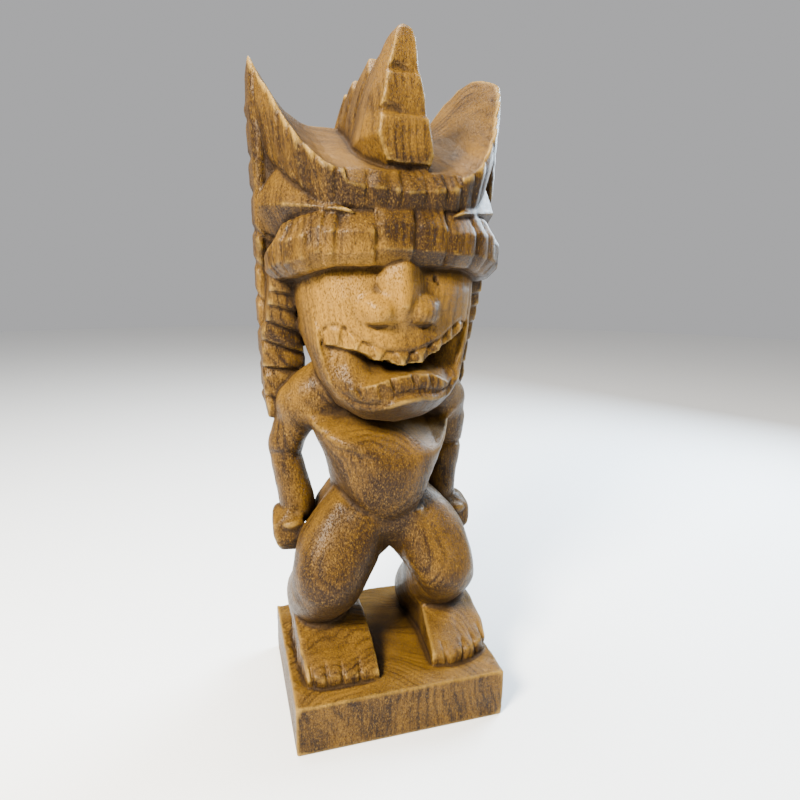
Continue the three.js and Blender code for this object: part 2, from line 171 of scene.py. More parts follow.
def limb(stops, radii, flat=(1, 1, 1), soft=3.0, rows=7):
    """A rounded limb of cones along a curve, melted together. Flat squeezes it along an axis."""
    scale = np.asarray(flat, float)
    path = curve([np.asarray(s) / scale for s in stops], rows)
    thick = np.interp(np.linspace(0, 1, rows), np.linspace(0, 1, len(radii)), radii)

    def distance(x, y, z):
        place = (x / scale[0], y / scale[1], z / scale[2])
        whole = None
        for a, b, ra, rb in zip(path[:-1], path[1:], thick[:-1], thick[1:]):
            d = b - a
            t = np.clip(sum((p - s) * k for p, s, k in zip(place, a, d)) / (d @ d), 0, 1)
            gap = np.sqrt(sum((p - s - t * k) ** 2 for p, s, k in zip(place, a, d))) - ra - (rb - ra) * t
            whole = gap if whole is None else melt(whole, gap, soft)
        return whole * scale.min()

    reach = np.max(radii) * scale + 2
    return distance, np.min(stops, axis=0) - reach, np.max(stops, axis=0) + reach


def rounded(stops, **more):
    """A limb whose stops hold their radius as a fourth number."""
    return limb([s[:3] for s in stops], [s[3] for s in stops], **more)


def ball(centre, radii, turn=(0, 0, 0)):
    """An egg shape, turned about X, Y and Z by degrees: distance is taken from its scaled radius."""
    spin = np.eye(3)
    for axis, angle in enumerate(np.radians(turn)):
        c, s = math.cos(angle), math.sin(angle)
        step = np.eye(3)
        i, j = [(1, 2), (2, 0), (0, 1)][axis]
        step[i, i], step[j, j], step[i, j], step[j, i] = c, c, -s, s
        spin = step @ spin

    def distance(x, y, z):
        p = (x - centre[0], y - centre[1], z - centre[2])
        q = [sum(spin[k, i] * p[k] for k in range(3)) for i in range(3)]
        one = np.sqrt(sum((q[i] / radii[i]) ** 2 for i in range(3)))
        two = np.sqrt(sum((q[i] / radii[i] ** 2) ** 2 for i in range(3)))
        return one * (one - 1) / np.maximum(two, 1e-9)

    reach = np.max(radii)
    return distance, np.asarray(centre) - reach, np.asarray(centre) + reach


def cake(centre, half, soft, turn=0.0, tilt=0.0):
    """A box with rounded edges, turned about Z and then tipped about X, in degrees."""
    ct, st = math.cos(math.radians(turn)), math.sin(math.radians(turn))
    cp, sp = math.cos(math.radians(tilt)), math.sin(math.radians(tilt))

    def distance(x, y, z):
        x, y, z = x - centre[0], y - centre[1], z - centre[2]
        x, y = ct * x + st * y, ct * y - st * x
        y, z = cp * y + sp * z, cp * z - sp * y
        out = [np.abs(v) - h + soft for v, h in zip((x, y, z), half)]
        hull = np.sqrt(sum(np.maximum(o, 0) ** 2 for o in out))
        return hull + np.minimum(np.maximum(np.maximum(out[0], out[1]), out[2]), 0) - soft

    reach = np.linalg.norm(half)
    return distance, np.asarray(centre) - reach, np.asarray(centre) + reach


class Block:
    """The block of air and wood: samples of distance on an even grid."""

    def __init__(self, step):
        self.step = step
        self.axes = [np.arange(a, b + step, step) for a, b in zip(BLOCK_LOW, BLOCK_HIGH)]
        self.field = np.full([len(a) for a in self.axes], FAR, np.float32)

    def window(self, low, high, margin):
        """The samples inside a box, and their places as three arrays that spread over each other."""
        spans = tuple(
            slice(int(np.searchsorted(a, lo - margin)), int(np.searchsorted(a, hi + margin)))
            for a, lo, hi in zip(self.axes, low, high))
        x, y, z = (a[s].astype(np.float32) for a, s in zip(self.axes, spans))
        return spans, x[:, None, None], y[None, :, None], z[None, None, :]

    def add(self, shape, soft=0.0):
        distance, low, high = shape
        spans, x, y, z = self.window(low, high, ADD_MARGIN + soft)
        self.field[spans] = melt(self.field[spans], distance(x, y, z), soft)

    def cut(self, shape, soft=0.0):
        distance, low, high = shape
        spans, x, y, z = self.window(low, high, CUT_MARGIN + soft)
        self.field[spans] = keep(self.field[spans], -distance(x, y, z), soft)

    def score(self, points, width, depth, taper=0.25):
        """A V groove along a chain of points: depth is added to the distance, less towards its ends."""
        low, high = np.min(points, axis=0), np.max(points, axis=0)
        spans, x, y, z = self.window(low, high, width + 1)
        gap, share = line_distance(points, x, y, z)
        fade = np.clip(np.minimum(share, 1 - share) / taper, 0, 1)
        self.field[spans] += depth * notch(gap, 0.0, width) * (0.25 + 0.75 * fade)


# Sculpt: parts of the figure

def plinth(block):
    """A box with worn edges: the largest of the distances to its sides, its top and its underside.

    The top falls from the toe line to the front edge and rises a little at the rear.
    """
    def distance(x, y, z):
        top = PLINTH_TOP - (PLINTH_TOP - PLINTH_EDGE) * ramp(-y, -TOE_LINE - 2, PLINTH_HALF[1])
        top = top + REAR_RISE * ramp(y, 10, 70) * ramp(40 - np.abs(x - 6), 0, 12)
        sides = keep(np.abs(x) - PLINTH_HALF[0], np.abs(y) - PLINTH_HALF[1], 1.5)
        return keep(keep(sides, z - top, 2.0), -z, 0.5)
    block.add((distance, (-82, -72, 0), (82, 72, 43)))


LEFT_FOOT = [
    (-16, -58), (-15.5, -30), (-16, 0), (-15, 22), (-19, 40), (-28, 52), (-45, 57), (-66, 52),
    (-74, 20), (-74, -30), (-71, -54), (-60, -58)]
RIGHT_FOOT = [
    (28, -54), (31, -30), (33, -4), (32, 30), (38, 50), (54, 56), (70, 48), (78, 10), (80.5, -30),
    (78, -45), (62, -54), (44, -57)]
# Height of a foot over the plinth, from the toes to the heel
FOOT_TOP = [(-58, 8), (-50, 13), (-35, 19), (-12, 30), (0, 33), (20, 30), (50, 20)]


def foot(block, plan, inner_fall):
    """A wedge: the plan outline under a top that climbs from toes to instep and falls to the heel.

    Beside the leg the top also falls towards the other foot.
    """
    def distance(x, y, z):
        crown = 1.2 * np.abs(x - np.mean([p[0] for p in plan])) / 30
        crown = crown + inner_fall * ramp(32 - np.abs(x), 0, 18) * ramp(y, -28, -6)
        walls = flat_distance(plan, x, y)
        top = (z - PLINTH_TOP - along(FOOT_TOP, y) + crown) * 0.92
        return keep(keep(walls, top, 3.0), PLINTH_TOP - 8 - z)
    low = (min(p[0] for p in plan), -60, 34)
    high = (max(p[0] for p in plan), 58, 80)
    block.add((distance, low, high), 1.0)


# Stops and radii of each leg: hip to knee, knee to heel, and the seat behind
LEFT_THIGH = [
    (-20, 0, 166, 24), (-28, -8, 150, 28.5), (-39.5, -13, 132, 31), (-47, -19, 116, 27.5),
    (-48.5, -17, 106, 25)]
RIGHT_THIGH = [
    (24, 2, 160, 23), (32, -8, 146, 26), (40.5, -15, 130, 28), (46, -20, 114.5, 27.2),
    (48, -17, 105.5, 24.2)]
LEFT_SHIN = [(-52, -10, 100, 25.5), (-51, 12, 84, 25), (-49, 36, 64, 23)]
RIGHT_SHIN = [(49, -10, 100, 24.5), (50, 12, 84, 25.5), (48, 36, 62, 24.5)]
LEFT_HIP = [(-22, 26, 164, 20), (-29, 26, 145, 24), (-39, 19, 121, 24)]
RIGHT_HIP = [(22, 26, 164, 20), (31, 26, 145, 23), (42, 19, 122, 22)]
# Planed sides of the knees: a point on each plane, the way it faces, and how softly it meets the round
LEFT_PLANES = [
    ((-13.3, -10, 113.8), (0.86, 0.05, -0.50), 4.0), ((-50, -47, 128), (-0.12, -0.90, 0.42), 7.0),
    ((-80, -10, 120), (-0.97, -0.15, 0.16), 6.0)]
RIGHT_PLANES = [
    ((11.7, -30, 124), (-0.86, -0.04, -0.51), 4.0), ((46, -46, 126), (0.10, -0.90, 0.42), 7.0),
    ((76, -10, 118), (0.95, -0.20, 0.24), 6.0)]


def planed(shape, planes):
    """A shape with flat facets: it is kept behind each plane."""
    distance, low, high = shape

    def cut(x, y, z):
        whole = distance(x, y, z)
        for at, way, soft in planes:
            size = math.sqrt(sum(w * w for w in way))
            side = sum((p - a) * w / size for p, a, w in zip((x, y, z), at, way))
            whole = keep(whole, side, soft)
        return whole
    return cut, low, high


def leg(block, thigh, shin, hip, planes):
    """Thigh, knee and shin: round cones melted along the bent leg, the shin folded back to the heel."""
    block.add(planed(rounded(thigh, soft=6, rows=9), planes), 2.0)
    block.add(rounded(shin, soft=6), 5.0)
    block.add(rounded(hip, soft=6), 10.0)


FORK_APEX = (1.9, 132.6)
FORK_SLOPE = 1.32
FORK_FRONT = [(116, -14), (132, -21), (150, -30), (160, -32)]


def fork(block):
    """Where the thighs meet under the belly: wood above an upside-down V, rounded in front and behind."""
    def distance(x, y, z):
        vee = (FORK_APEX[1] - FORK_SLOPE * np.abs(x - FORK_APEX[0]) - z) * 0.6
        deep = keep(along(FORK_FRONT, z) - y, y - 32, 8)
        wide = keep(np.abs(x - 2) - 25, z - 166, 3)
        return keep(keep(vee, deep, 5), wide, 3)
    block.add((distance, (-24, -34, 108), (28, 34, 168)), 4.0)


# Height, half width, front and back of the torso
TORSO_LEVELS = [
    (134, 22, -8, 36), (146, 33, -17, 44), (156, 39, -28, 45), (165, 41, -35, 45), (180, 42.5, -41, 42),
    (195, 44, -43.5, 39), (210, 48, -44, 38), (222, 53.5, -44, 38), (236, 58.5, -43, 38),
    (250, 58, -38, 40), (264, 50, -30, 42), (290, 40, -16, 44)]
# Flat facets of the belly's flanks
TORSO_PLANES = [
    ((-46, -32, 213), (-0.882, -0.218, -0.418), 5.0), ((43, -32, 213), (0.882, -0.218, -0.418), 5.0)]
# How square the sections are: the power that rounds them off
TORSO_POWER = 2.2
# Height and front of the breast's lower edge, and where the slope to the neck starts
BREAST = (211.5, -43.5)
NECK_HEIGHT = 230
# Stops and radii of the shoulders, from side to side
YOKE = [(-64, 17, 247, 18), (-38, 12, 262, 22), (0, 9, 270, 24), (38, 12, 262, 22), (60, 17, 247, 17)]
# How far the slope to the neck drops towards the shoulders
NECK_FALL = [(0, 0), (12, 2), (24, 6.5), (37, 12), (47, 12), (60, 7)]


def torso(block):
    """Level sections like a worn box: shares of the half width and depth, to a power, add up to one.

    Two slopes are kept in front: the breast, whose lower edge rises to the sides, and the way up to
    the neck.
    """
    levels = curve(TORSO_LEVELS, 120)

    def distance(x, y, z):
        half, front, back = (np.interp(z, levels[:, 0], levels[:, k]) for k in (1, 2, 3))
        deep = (back - front) / 2
        u, v = np.abs(x) / half, np.abs(y - (front + back) / 2) / deep
        hull = (u**TORSO_POWER + v**TORSO_POWER) ** (1 / TORSO_POWER) - 1
        hull = hull * np.minimum(half, deep) * 0.92
        breast = 0.60 * (z - BREAST[0] - 0.0072 * (x - 6) ** 2) - 0.80 * (y - BREAST[1])
        neck = 0.87 * (z - NECK_HEIGHT + along(NECK_FALL, x)) - 0.50 * (y + 27)
        hull = keep(keep(hull, breast, 7), neck, 5)
        return keep(keep(hull, 136 + 0.012 * (x - 4) ** 2 - z, 9), z - 300)
    block.add(planed((distance, (-60, -45, 128), (60, 46, 300)), TORSO_PLANES), 1.5)
    block.add(rounded(YOKE, flat=(1, 1.1, 1), soft=6, rows=9), 8.0)


# Each arm, across from the middle: stops and radii from shoulder to elbow and on to the wrist, and fist
LEFT_ARM = (
    [(53, 16, 253, 17.5), (65, 22, 236, 15.2), (73, 25, 216, 13), (74.5, 26, 208, 12.7)],
    [(74.6, 26, 203, 12.2), (71.5, 25, 187, 12.2), (68, 23, 171, 13), (66, 22, 158, 13.8)], 74.5)
RIGHT_ARM = (
    [(48, 16, 253, 17), (60, 21, 238, 15), (63.5, 23, 225, 14.8), (65, 24, 209, 12.8)],
    [(65, 24, 203, 12.6), (61.5, 24, 187, 12.3), (58, 22, 170, 13), (56.5, 21, 158, 13.6)], 68.3)


def arm(block, side, upper, fore, hold):
    """A thin arm hanging beside the waist: two limbs, and a fist that is a block with planed corners."""
    for stops, soft in ((upper, 5.0), (fore, 1.0)):
        turned = [(side * s[0], *s[1:]) for s in stops]
        block.add(rounded(turned, flat=(1, 1.15, 1), soft=4), soft)
    fist = (side * hold, 19, 142)
    planes = [((side * (hold + 11), 19, 133), (side * 0.88, 0, -0.47), 3),
              ((fist[0], 4, 131), (0, -0.80, -0.60), 3),
              ((side * (hold + 8), 10, 156), (side * 0.62, -0.30, 0.72), 2.5),
              ((fist[0], 2, 153), (0, -0.80, 0.60), 2)]
    block.add(planed(cake(fist, (12.7, 17.5, 18), 6.0, turn=side * 6, tilt=-8), planes), 1.5)
    block.add(ball((side * (hold - 2), 3, 150), (9, 5, 5)), 2.0)


def head(block):
    """The skull, a rounded box behind the face, and the neck under it, a flattened limb."""
    block.add(rounded([(0, 14, 262, 40), (0, 16, 300, 44)], flat=(1, 0.75, 1)), 6.0)
    block.add(cake((0, 18, 372), (64, 48, 78), 16), 3.0)


FACE_OUTLINE = both([
    (0, 239), (22, 241), (40, 252), (53, 272), (61.5, 298), (67, 328), (68, 352), (68, 395), (0, 395)])
FACE_PROFILE = [
    (236, -34), (241, -41), (248, -50), (260, -58), (272, -59), (284, -56), (300, -54.5), (318, -53.5),
    (345, -52.5), (360, -51), (395, -48)]
FACE_ARC = [(0, 0), (14, 0.6), (28, 3.2), (40, 7.4), (50, 12.5), (58, 19.5), (64, 28), (67, 36), (70, 50)]
# Half width of the face over which the arc is drawn, at each height
FACE_HALF = [(240, 36), (252, 46), (272, 57), (298, 63.5), (328, 67), (352, 68)]


def face_front(x, z):
    """How far forward the bare face stands: the middle profile, bent back towards the sides."""
    return along(FACE_PROFILE, z) + along(FACE_ARC, np.abs(x) * 67 / along(FACE_HALF, z))


UPPER_LIP = [
    (-55, 307), (-52, 311), (-45.5, 312.6), (-38, 311.2), (-27, 302), (-22, 300), (-10.4, 295),
    (0, 294.2), (7, 294.1), (14.5, 296), (20.5, 298), (32, 303.5), (41, 310.5), (50, 315.5), (57, 313)]
UPPER_TEETH = [
    (-54, 298), (-46, 298), (-41, 296.5), (-36, 295.5), (-31, 294.6), (-25, 292), (-22.2, 290.3),
    (-19.8, 287.9), (-13, 287.1), (-11, 288.4), (-6.6, 285.5), (-2.3, 283.9), (2.9, 283.2),
    (5.3, 285.4), (10.8, 285.7), (15.6, 285.2), (18.5, 288), (22, 290.5), (29, 292.4), (31.5, 296),
    (42, 301), (50, 306), (57, 310)]
LOWER_TEETH = [
    (-44, 264), (-38, 267.5), (-32, 268.5), (-27.5, 270), (-20, 272.5), (-13, 275), (-5, 277.2),
    (5.4, 278.8), (15, 278.7), (23, 278), (29, 276), (35, 272.5), (41, 267)]
LOWER_GUM = [
    (-40, 266), (-35, 265.5), (-28.5, 261.3), (-24.6, 260), (-14, 259.2), (-6.5, 262.6), (0, 265),
    (7.2, 266.7), (15.2, 267.2), (27.5, 265), (36, 268)]
MOUTH_RIM = [
    (-52, 311), (-53.5, 298), (-50.5, 286), (-46, 273), (-41.5, 265), (-35.5, 260.4), (-28.5, 257.8),
    (-20, 256.8), (-12.5, 258), (-6, 261), (0, 263.5), (7, 265.2), (15, 265.7), (27, 263.5), (36, 266),
    (44, 271), (51, 282), (55.5, 297), (56.5, 312)]
FLOOR_LINE = [
    (-57, 300), (-52, 288), (-45, 274), (-38, 264), (0, 262), (38, 264), (46, 270), (52, 282),
    (57, 300)]
# Upper teeth, cuts that part the lower teeth, and spikes of the lower row: left and right end of the
# wide side, and where the point lies
UPPER_SPIKES = [
    (-50.5, -40.5, -43.5), (-37.8, -27, -31.5), (-22, -10.4, -17), (-5.7, 6.9, 0.5), (9.4, 20.5, 14),
    (22.8, 32.8, 30.3), (36, 41.5, 40.5), (45, 51, 49)]
LOWER_NICKS = [(-33.5, -26, -28), (-9, -5.5, -4.5), (6.5, 13, 10.5), (20.5, 26.5, 24)]
LOWER_SPIKES = [(-25, -15.5, -19), (30, 34, 31)]
TOOTH_GAP = 1.5
TOOTH_RISE = 2.0
MOUTH_DEPTH = 29.0


def facet(x, height, ends):
    """How far a place lies inside a triangle, wide at height 1 and narrowing to its point at height 0."""
    left, right, point = ends
    low, high = point + (left - point) * height, point + (right - point) * height
    return ramp(np.minimum(x - low, high - x), -0.7, 1.0)


def mouth_relief(x, z):
    """How far the mouth lies behind the bare face: two rows of teeth and the hollow between them.

    Each row is the strip between two lines. The upper teeth are triangles that stand proud of their gaps.
    Cuts that widen upwards part the lower teeth, and two spikes stand proud of that row. The hollow
    deepens towards the middle, as one minus the share of the way out to the corners.
    """
    lip, biting = along(UPPER_LIP, x), along(UPPER_TEETH, x)
    top, gum = along(LOWER_TEETH, x), along(LOWER_GUM, x)
    inside = flat_distance(UPPER_LIP[::-1] + MOUTH_RIM, x, z)
    rim_low = np.maximum(np.where(np.abs(x) < 43, top, 0), along(FLOOR_LINE, x))
    climb = np.clip((z - rim_low) / np.maximum(biting - rim_low, 4), 0, 1)
    deep = 8 + (MOUTH_DEPTH - 8) * ramp(1 - np.abs(x - 8) / 50, 0.05, 0.66)
    hollow = deep * (0.16 + 0.84 * climb ** 0.8) * ramp(-inside, -0.5, 5)

    up = np.clip((z - biting) / np.maximum(lip - biting, 4), 0, 1)
    upper = TOOTH_GAP + 0.5 * up - sum(TOOTH_RISE * facet(x, up, ends) for ends in UPPER_SPIKES)
    depth = hollow + (upper - hollow) * ramp(z - biting, -0.7, 0.7)

    rise = np.clip((z - gum) / np.maximum(top - gum, 4), 0, 1)
    lower = 0.3 + 0.6 * rise
    for left, right, point in LOWER_NICKS:
        at = point + (left - point) * rise
        lower = lower + 2.6 * nick(x, at, 0.9, (right - left) * rise + 0.6) * ramp(rise, 0, 0.5)
    lower = lower - sum(1.3 * facet(x, 1 - rise, ends) for ends in LOWER_SPIKES)
    lower = lower + 1.9 * notch(z, gum, 2.2) * ramp(32 - np.abs(x), 0, 6)
    depth = depth + (lower - depth) * ramp(top - z, -0.7, 0.7) * (np.abs(x) < 44)
    below = ramp(gum - z, -0.7, 0.7) * (np.abs(x) < 43)
    depth = depth * (1 - below)
    return np.where(inside < 0.6, depth * ramp(-inside, -0.6, 0.8), 0)


def face_relief(x, z):
    """Folds of the face: above zero where they stand proud of it, below where they are scored into it.

    A fold runs round the mouth, with a groove inside it and one along the upper lip. Another follows the
    jaw. The cheeks and the chin swell, and the places of the eyes are set back under the band.
    """
    outer = [(u * 1.07 - 0.5, v - 1.5 - 3 * (v < 290)) for u, v in MOUTH_RIM]
    rim, _ = line_distance(MOUTH_RIM, x, z)
    fold, _ = line_distance(outer, x, z)
    lips, _ = line_distance(UPPER_LIP, x, z)
    jaw = -flat_distance(FACE_OUTLINE, x, z)
    relief = 2.0 * notch(fold, 0.0, 4.5) - 1.6 * notch(rim, 0.0, 2.2) * ramp(308 - z, 0, 12)
    relief = relief + 0.5 * notch(lips, 0.0, 4.5) * (z > along(UPPER_LIP, x) - 0.5)
    relief = relief - 2.2 * notch(lips, 0.0, 2.5) * ramp(56 - np.abs(x), 0, 5)
    relief = relief - 1.8 * notch(jaw, 8.5, 2.2) * ramp(345 - z, 0, 8) * ramp(z, 258, 268)
    cheek = bump(np.hypot((np.abs(x) - 36) / 22, (z - 330) / 17), 0, 1)
    chin = bump(np.hypot(x / 40, (z - 256) / 10), 0, 1)
    brow = 3.0 * ramp(z, 343, 356) * ramp(24 - np.abs(np.abs(x) - 32), 0, 12)
    return relief + 1.6 * cheek + 3.0 * chin - brow


def face(block):
    """The mask: everything behind a front height map over (x, z) and inside the front outline.

    The distance to the map is divided by the length of the map's slope.
    """
    spans, x, y, z = block.window((-70, -72, 232), (70, 6, 396), 4)
    front = face_front(x, z) - face_relief(x, z) + mouth_relief(x, z)
    du = np.gradient(front[:, 0, :], block.step, axis=0)[:, None, :]
    dv = np.gradient(front[:, 0, :], block.step, axis=1)[:, None, :]
    outer = (front - y) / np.sqrt(1 + np.minimum(du**2 + dv**2, 6.0))
    mask = keep(outer, flat_distance(FACE_OUTLINE, x, z), 6.0)
    back = np.interp(z, [236, 262, 300], [-14, -2, 8])
    whole = keep(mask, y - back, 8.0)
    block.field[spans] = melt(block.field[spans], whole, 1.0)


# Each wing of the nose: side, middle and half sizes
NOSE_WINGS = [(-1, (-17.2, -53, 323.4), (14.2, 10.4, 12.0)), (1, (16.2, -53, 323), (12.2, 10.2, 11.4))]
NOSTRIL_HEIGHT = 312.0


def nose(block):
    """A broad rounded bridge up under the band, a full wing each side and a dark slit under each wing.

    The bridge lies behind two planes that meet along a ridge line. The wings are eggs with planed faces.
    """
    def bridge(x, y, z):
        ridge = np.interp(z, [308, 316, 326, 340, 352, 362], [-55, -60.5, -66, -65.5, -64, -60])
        left = -0.50 * (x - 1.0) - 0.87 * (y - ridge)
        right = 0.58 * (x - 1.0) - 0.82 * (y - ridge)
        wide = np.abs(x) - np.interp(z, [312, 326, 342, 354, 362], [8, 14.5, 17, 14.5, 8])
        whole = keep(keep(left, right, 5.0) + 0.6, wide * 0.9, 5.0)
        return keep(keep(whole, z - 358.5, 7.0), (312 - z) * 0.8 - 0.6 * (y + 57), 4)
    block.add((bridge, (-21, -70, 305), (19, -40, 364)), 3.5)
    for side, centre, radii in NOSE_WINGS:
        def out(reach, y, z):
            return centre[0] + side * reach, y, z
        wing = planed(ball(centre, radii, turn=(6, side * -8, side * 16)), [
            (out(2, -60.2, 329), (side * 0.14, -0.74, 0.65), 5.0),
            (out(9, -58.5, 319), (side * 0.80, -0.58, -0.12), 5.0),
            (out(0, -58, 314), (0, -0.22, -0.97), 1.5)])
        block.add(wing, 4.0)
        slit = [out(-7.5, -57.5, NOSTRIL_HEIGHT + 0.6), out(0.5, -57.5, NOSTRIL_HEIGHT - 1.2),
                out(8.5, -54.5, NOSTRIL_HEIGHT + 1.2)]
        block.cut(limb(slit, [1.2, 2.5, 1.2], flat=(1, 2.4, 1), soft=1), 0.5)
        inner = [out(-8, -61, 330), out(-10.5, -63, 324), out(-9.5, -61, 317)]
        block.score(curve(inner, 8), 4.0, 2.6, taper=0.5)
        over = [out(-4, -58, 334.5), out(4, -55, 335), out(11, -54, 331)]
        block.score(curve(over, 8), 3.6, 0.9, taper=0.4)
    block.cut(ball((26, -51.5, 344.5), (2.5, 4.5, 3.4)), 0.4)
    block.cut(ball((28.2, -51, 341), (1.7, 3.5, 1.9)), 0.4)


# Cuts along an edge: place at its top and bottom, depth, and width of the gentle wall at top and bottom
BAND_CUTS = [
    (-96, -97, 1.3, 4, 6), (-88, -90, 1.5, 4, 6), (-80, -83, 1.6, 4, 7), (-70, -73, 1.5, 5, 7),
    (-61, -63, 1.7, 5, 8), (-53, -53, 0.8, 4, 5), (-43.5, -45, 2.2, 3.5, 14), (-19.5, -21, 2.0, 4.5, 9),
    (7, 5, 2.1, 4.5, 10), (29, 28, 1.6, 4, 8), (50, 49, 1.8, 4, 8), (61, 62, 1.6, 4, 6),
    (70, 73, 1.6, 4, 6), (79, 83, 1.5, 4, 6), (89, 92, 1.4, 4, 6)]


def cut_edge(s, height, cuts, seed):
    """Chisel cuts along an edge, and a small random shift that each bay between them keeps.

    Height runs from 0 at the bottom to 1 at the top; each cut slants from one place to the other.
    """
    share = np.clip(height, 0, 1)
    cut = sum(depth * nick(s, low + (top - low) * height, 2.0, broad + (fine - broad) * share)
              for top, low, depth, fine, broad in cuts)
    middles = np.sort([(top + low) / 2 for top, low, _, _, _ in cuts])
    shift = np.random.default_rng(seed).uniform(-1, 1, len(middles) + 1)
    bay = np.searchsorted(middles, s)
    return cut, shift[bay], shift[::-1][bay]


BAND_PLAN = [
    (-82, 8), (-80, -8), (-75, -26), (-61, -45), (-34, -55), (0, -57), (34, -55), (61, -45), (74, -27),
    (79, -8), (80, 8)]
BAND_MIDDLE = 373.5


def brow_band(block):
    """A faceted bar bent round the brow, with the facets of each bay set a little differently.

    Places are taken as the way out from the plan curve and the way up from its drooping middle line.
    Three planes across those two are the upper, the middle and the lower facet.
    """
    path = curve(BAND_PLAN, 60)
    length = np.linalg.norm(np.diff(path, axis=0), axis=1).sum()

    def distance(x, y, z):
        gap, share = line_distance(path, x, y)
        inner = flat_distance(np.concatenate([path, [(80, 60), (-80, 60)]]), x, y)
        out = np.where(inner < 0, -gap, gap)
        droop = np.interp(np.abs(share - 0.5), [0, 0.2, 0.38, 0.5], [0, 1, 10, 17])
        size = np.interp(np.abs(share - 0.5), [0, 0.36, 0.5], [1, 1, 0.7])
        up = (z - BAND_MIDDLE + droop) / size
        out = out / size
        cut, one, two = cut_edge((share - 0.5) * length, (up + 20) / 37, BAND_CUTS, SEED)
        upper = 0.82 * out + (0.57 + 0.05 * two) * up - 9.4 - 0.6 * one
        middle = out + 0.08 * one * (up + 4) - 8.9 - 0.6 * two
        lower = 0.72 * out - (0.69 + 0.04 * one) * up - 14.1 - 0.6 * two
        bar = keep(keep(keep(upper, middle, 0.3), lower, 0.3), np.abs(up + 1.5) - 19, 1.5) * size
        cut = (0.95 * cut * ramp(out, -6, 0) * (0.3 + 0.7 * ramp(up, -18, -8))
               * (0.25 + 0.75 * ramp(17.5 - up, 0, 6)))
        return keep(bar + cut, y - 6, 3)
    block.add((distance, (-92, -68, 330), (92, 8, 394)), 0.6)


TEMPLE_LEFT = [(30, 384), (60, 400), (78, 420), (90, 404), (92, 390), (86, 377), (74, 372), (50, 380)]
TEMPLE_RIGHT = [
    (30, 384), (60, 400), (70, 414), (80, 410), (88, 403), (93, 400.5), (92.5, 395), (86, 386),
    (77, 380), (50, 381)]


def temple_blocks(block):
    """A wedge each side between brim and band: a facet above a ridge and one under it, run to a point."""
    for side, outline in ((-1, TEMPLE_LEFT), (1, TEMPLE_RIGHT)):
        def distance(x, y, z):
            x = side * x
            ridge = np.interp(x, [38, 52, 62, 77, 88, 95], [388, 389, 390.5, 392.7, 394.5, 395])
            out = np.interp(x, [36, 52, 62, 77, 88, 95], [-61, -52, -45, -30, -6, 8])
            upper = (z - ridge) * 0.64 - (y - out) * 0.77
            lower = -(z - ridge) * 0.80 - (y - out) * 0.60
            return keep(keep(keep(upper, lower, 0.6), flat_distance(outline, x, z), 1.2), y - 30)
        low, high = sorted((side * 34, side * 96))
        block.add((distance, (low, -62, 366), (high, 30, 422)), 0.5)


HAIR_FRONT = [
    (-97, 470), (-95, 440), (-93.5, 400), (-92.5, 330), (-90, 248), (-85, 236), (-64, 240), (-57, 262),
    (-56, 290), (-50, 302), (50, 302), (56, 290), (57, 266), (62, 252), (73, 249), (78, 258), (87, 330),
    (92, 400), (95, 440), (96, 470)]
HAIR_SIDE = [
    (31, 234), (58, 234), (66, 300), (68, 380), (68, 470), (0, 470), (4, 400), (14, 372), (25, 350),
    (25, 262)]
HAIR_PLAN = [
    (83, -2), (97, 20), (96, 48), (82, 64), (40, 68), (0, 69), (-40, 68), (-82, 64), (-96, 48),
    (-97, 20), (-83, -2), (0, -6)]
HAIR_NOTCHES = [247, 271, 296, 322, 346.5, 370.5, 397.5, 422, 446]


def hair(block):
    """A slab down the back that falls as a lock each side, parted into strands by slanting notches.

    It is what the outlines from the front, the side and above all hold, and the notches follow a height
    that falls away to the sides.
    """
    plan = curve(HAIR_PLAN, 60, closed=True)

    def distance(x, y, z):
        slab = keep(flat_distance(HAIR_FRONT, x, z), flat_distance(HAIR_SIDE, y, z), 5.0)
        plan_edge = np.abs(x) - 94
        slab = keep(slab, flat_distance(plan, x, y), 3.0)
        fall = z + np.interp(np.abs(x), [0, 60, 84, 97], [20, 6, 0, -16]) - 0.10 * (y - 25)
        lines = sum(nick(-fall, -level, 1.4, 8.0) for level in HAIR_NOTCHES)
        calm = 1 - 0.8 * ramp(z, 372, 392) * ramp(24 - y, 0, 6)
        strip = nick(plan_edge, -9.0, 1.4, 2.6) * ramp(z, 322, 336) * ramp(30 - y, 0, 8)
        return slab + 2.2 * lines * calm + 1.6 * strip
    block.add((distance, (-99, -6, 232), (99, 70, 472)), 0.0)


BRIM_FRONT = both([
    (0, 389), (38, 390), (52, 393), (60, 398), (72, 411), (81, 424), (90, 440), (94, 455), (96, 470),
    (95.5, 486), (92, 504), (90, 512), (0, 512)])
BRIM_SIDE = [
    (-66, 386), (60, 386), (68, 452), (69, 488), (60, 501), (46, 505), (30, 502), (14, 495), (-4, 484),
    (-30, 467), (-58, 441), (-66, 410)]
BRIM_PLAN = both([
    (0, -62.5), (36, -60.5), (57, -54), (71, -42), (83, -20), (94, 4), (96.5, 26), (92, 52), (77, 67),
    (0, 69)])
# The brim's edge from one horn round the front to the other: the plan without its three rear points
BRIM_RIM = BRIM_PLAN[11:] + BRIM_PLAN[:8]
# How much the dish climbs towards each horn, and the height at which the rim turns under
LEFT_RISE = [(0, 0), (45, 1), (52, 3.3), (65, 12.6), (74, 23), (81, 34), (88, 44), (92, 51.5), (97, 61)]
RIGHT_RISE = [(0, 0), (42, 0), (50, 2.5), (58, 9), (66, 19), (74, 29), (82, 41), (89, 50), (96, 58)]
BRIM_TURN = [
    (0, 400), (26, 402), (45, 406), (56, 413), (65, 422), (73, 431), (81, 443), (88, 455), (96, 470)]
DISH_HEIGHT = 436
DISH_SLOPE = 0.42


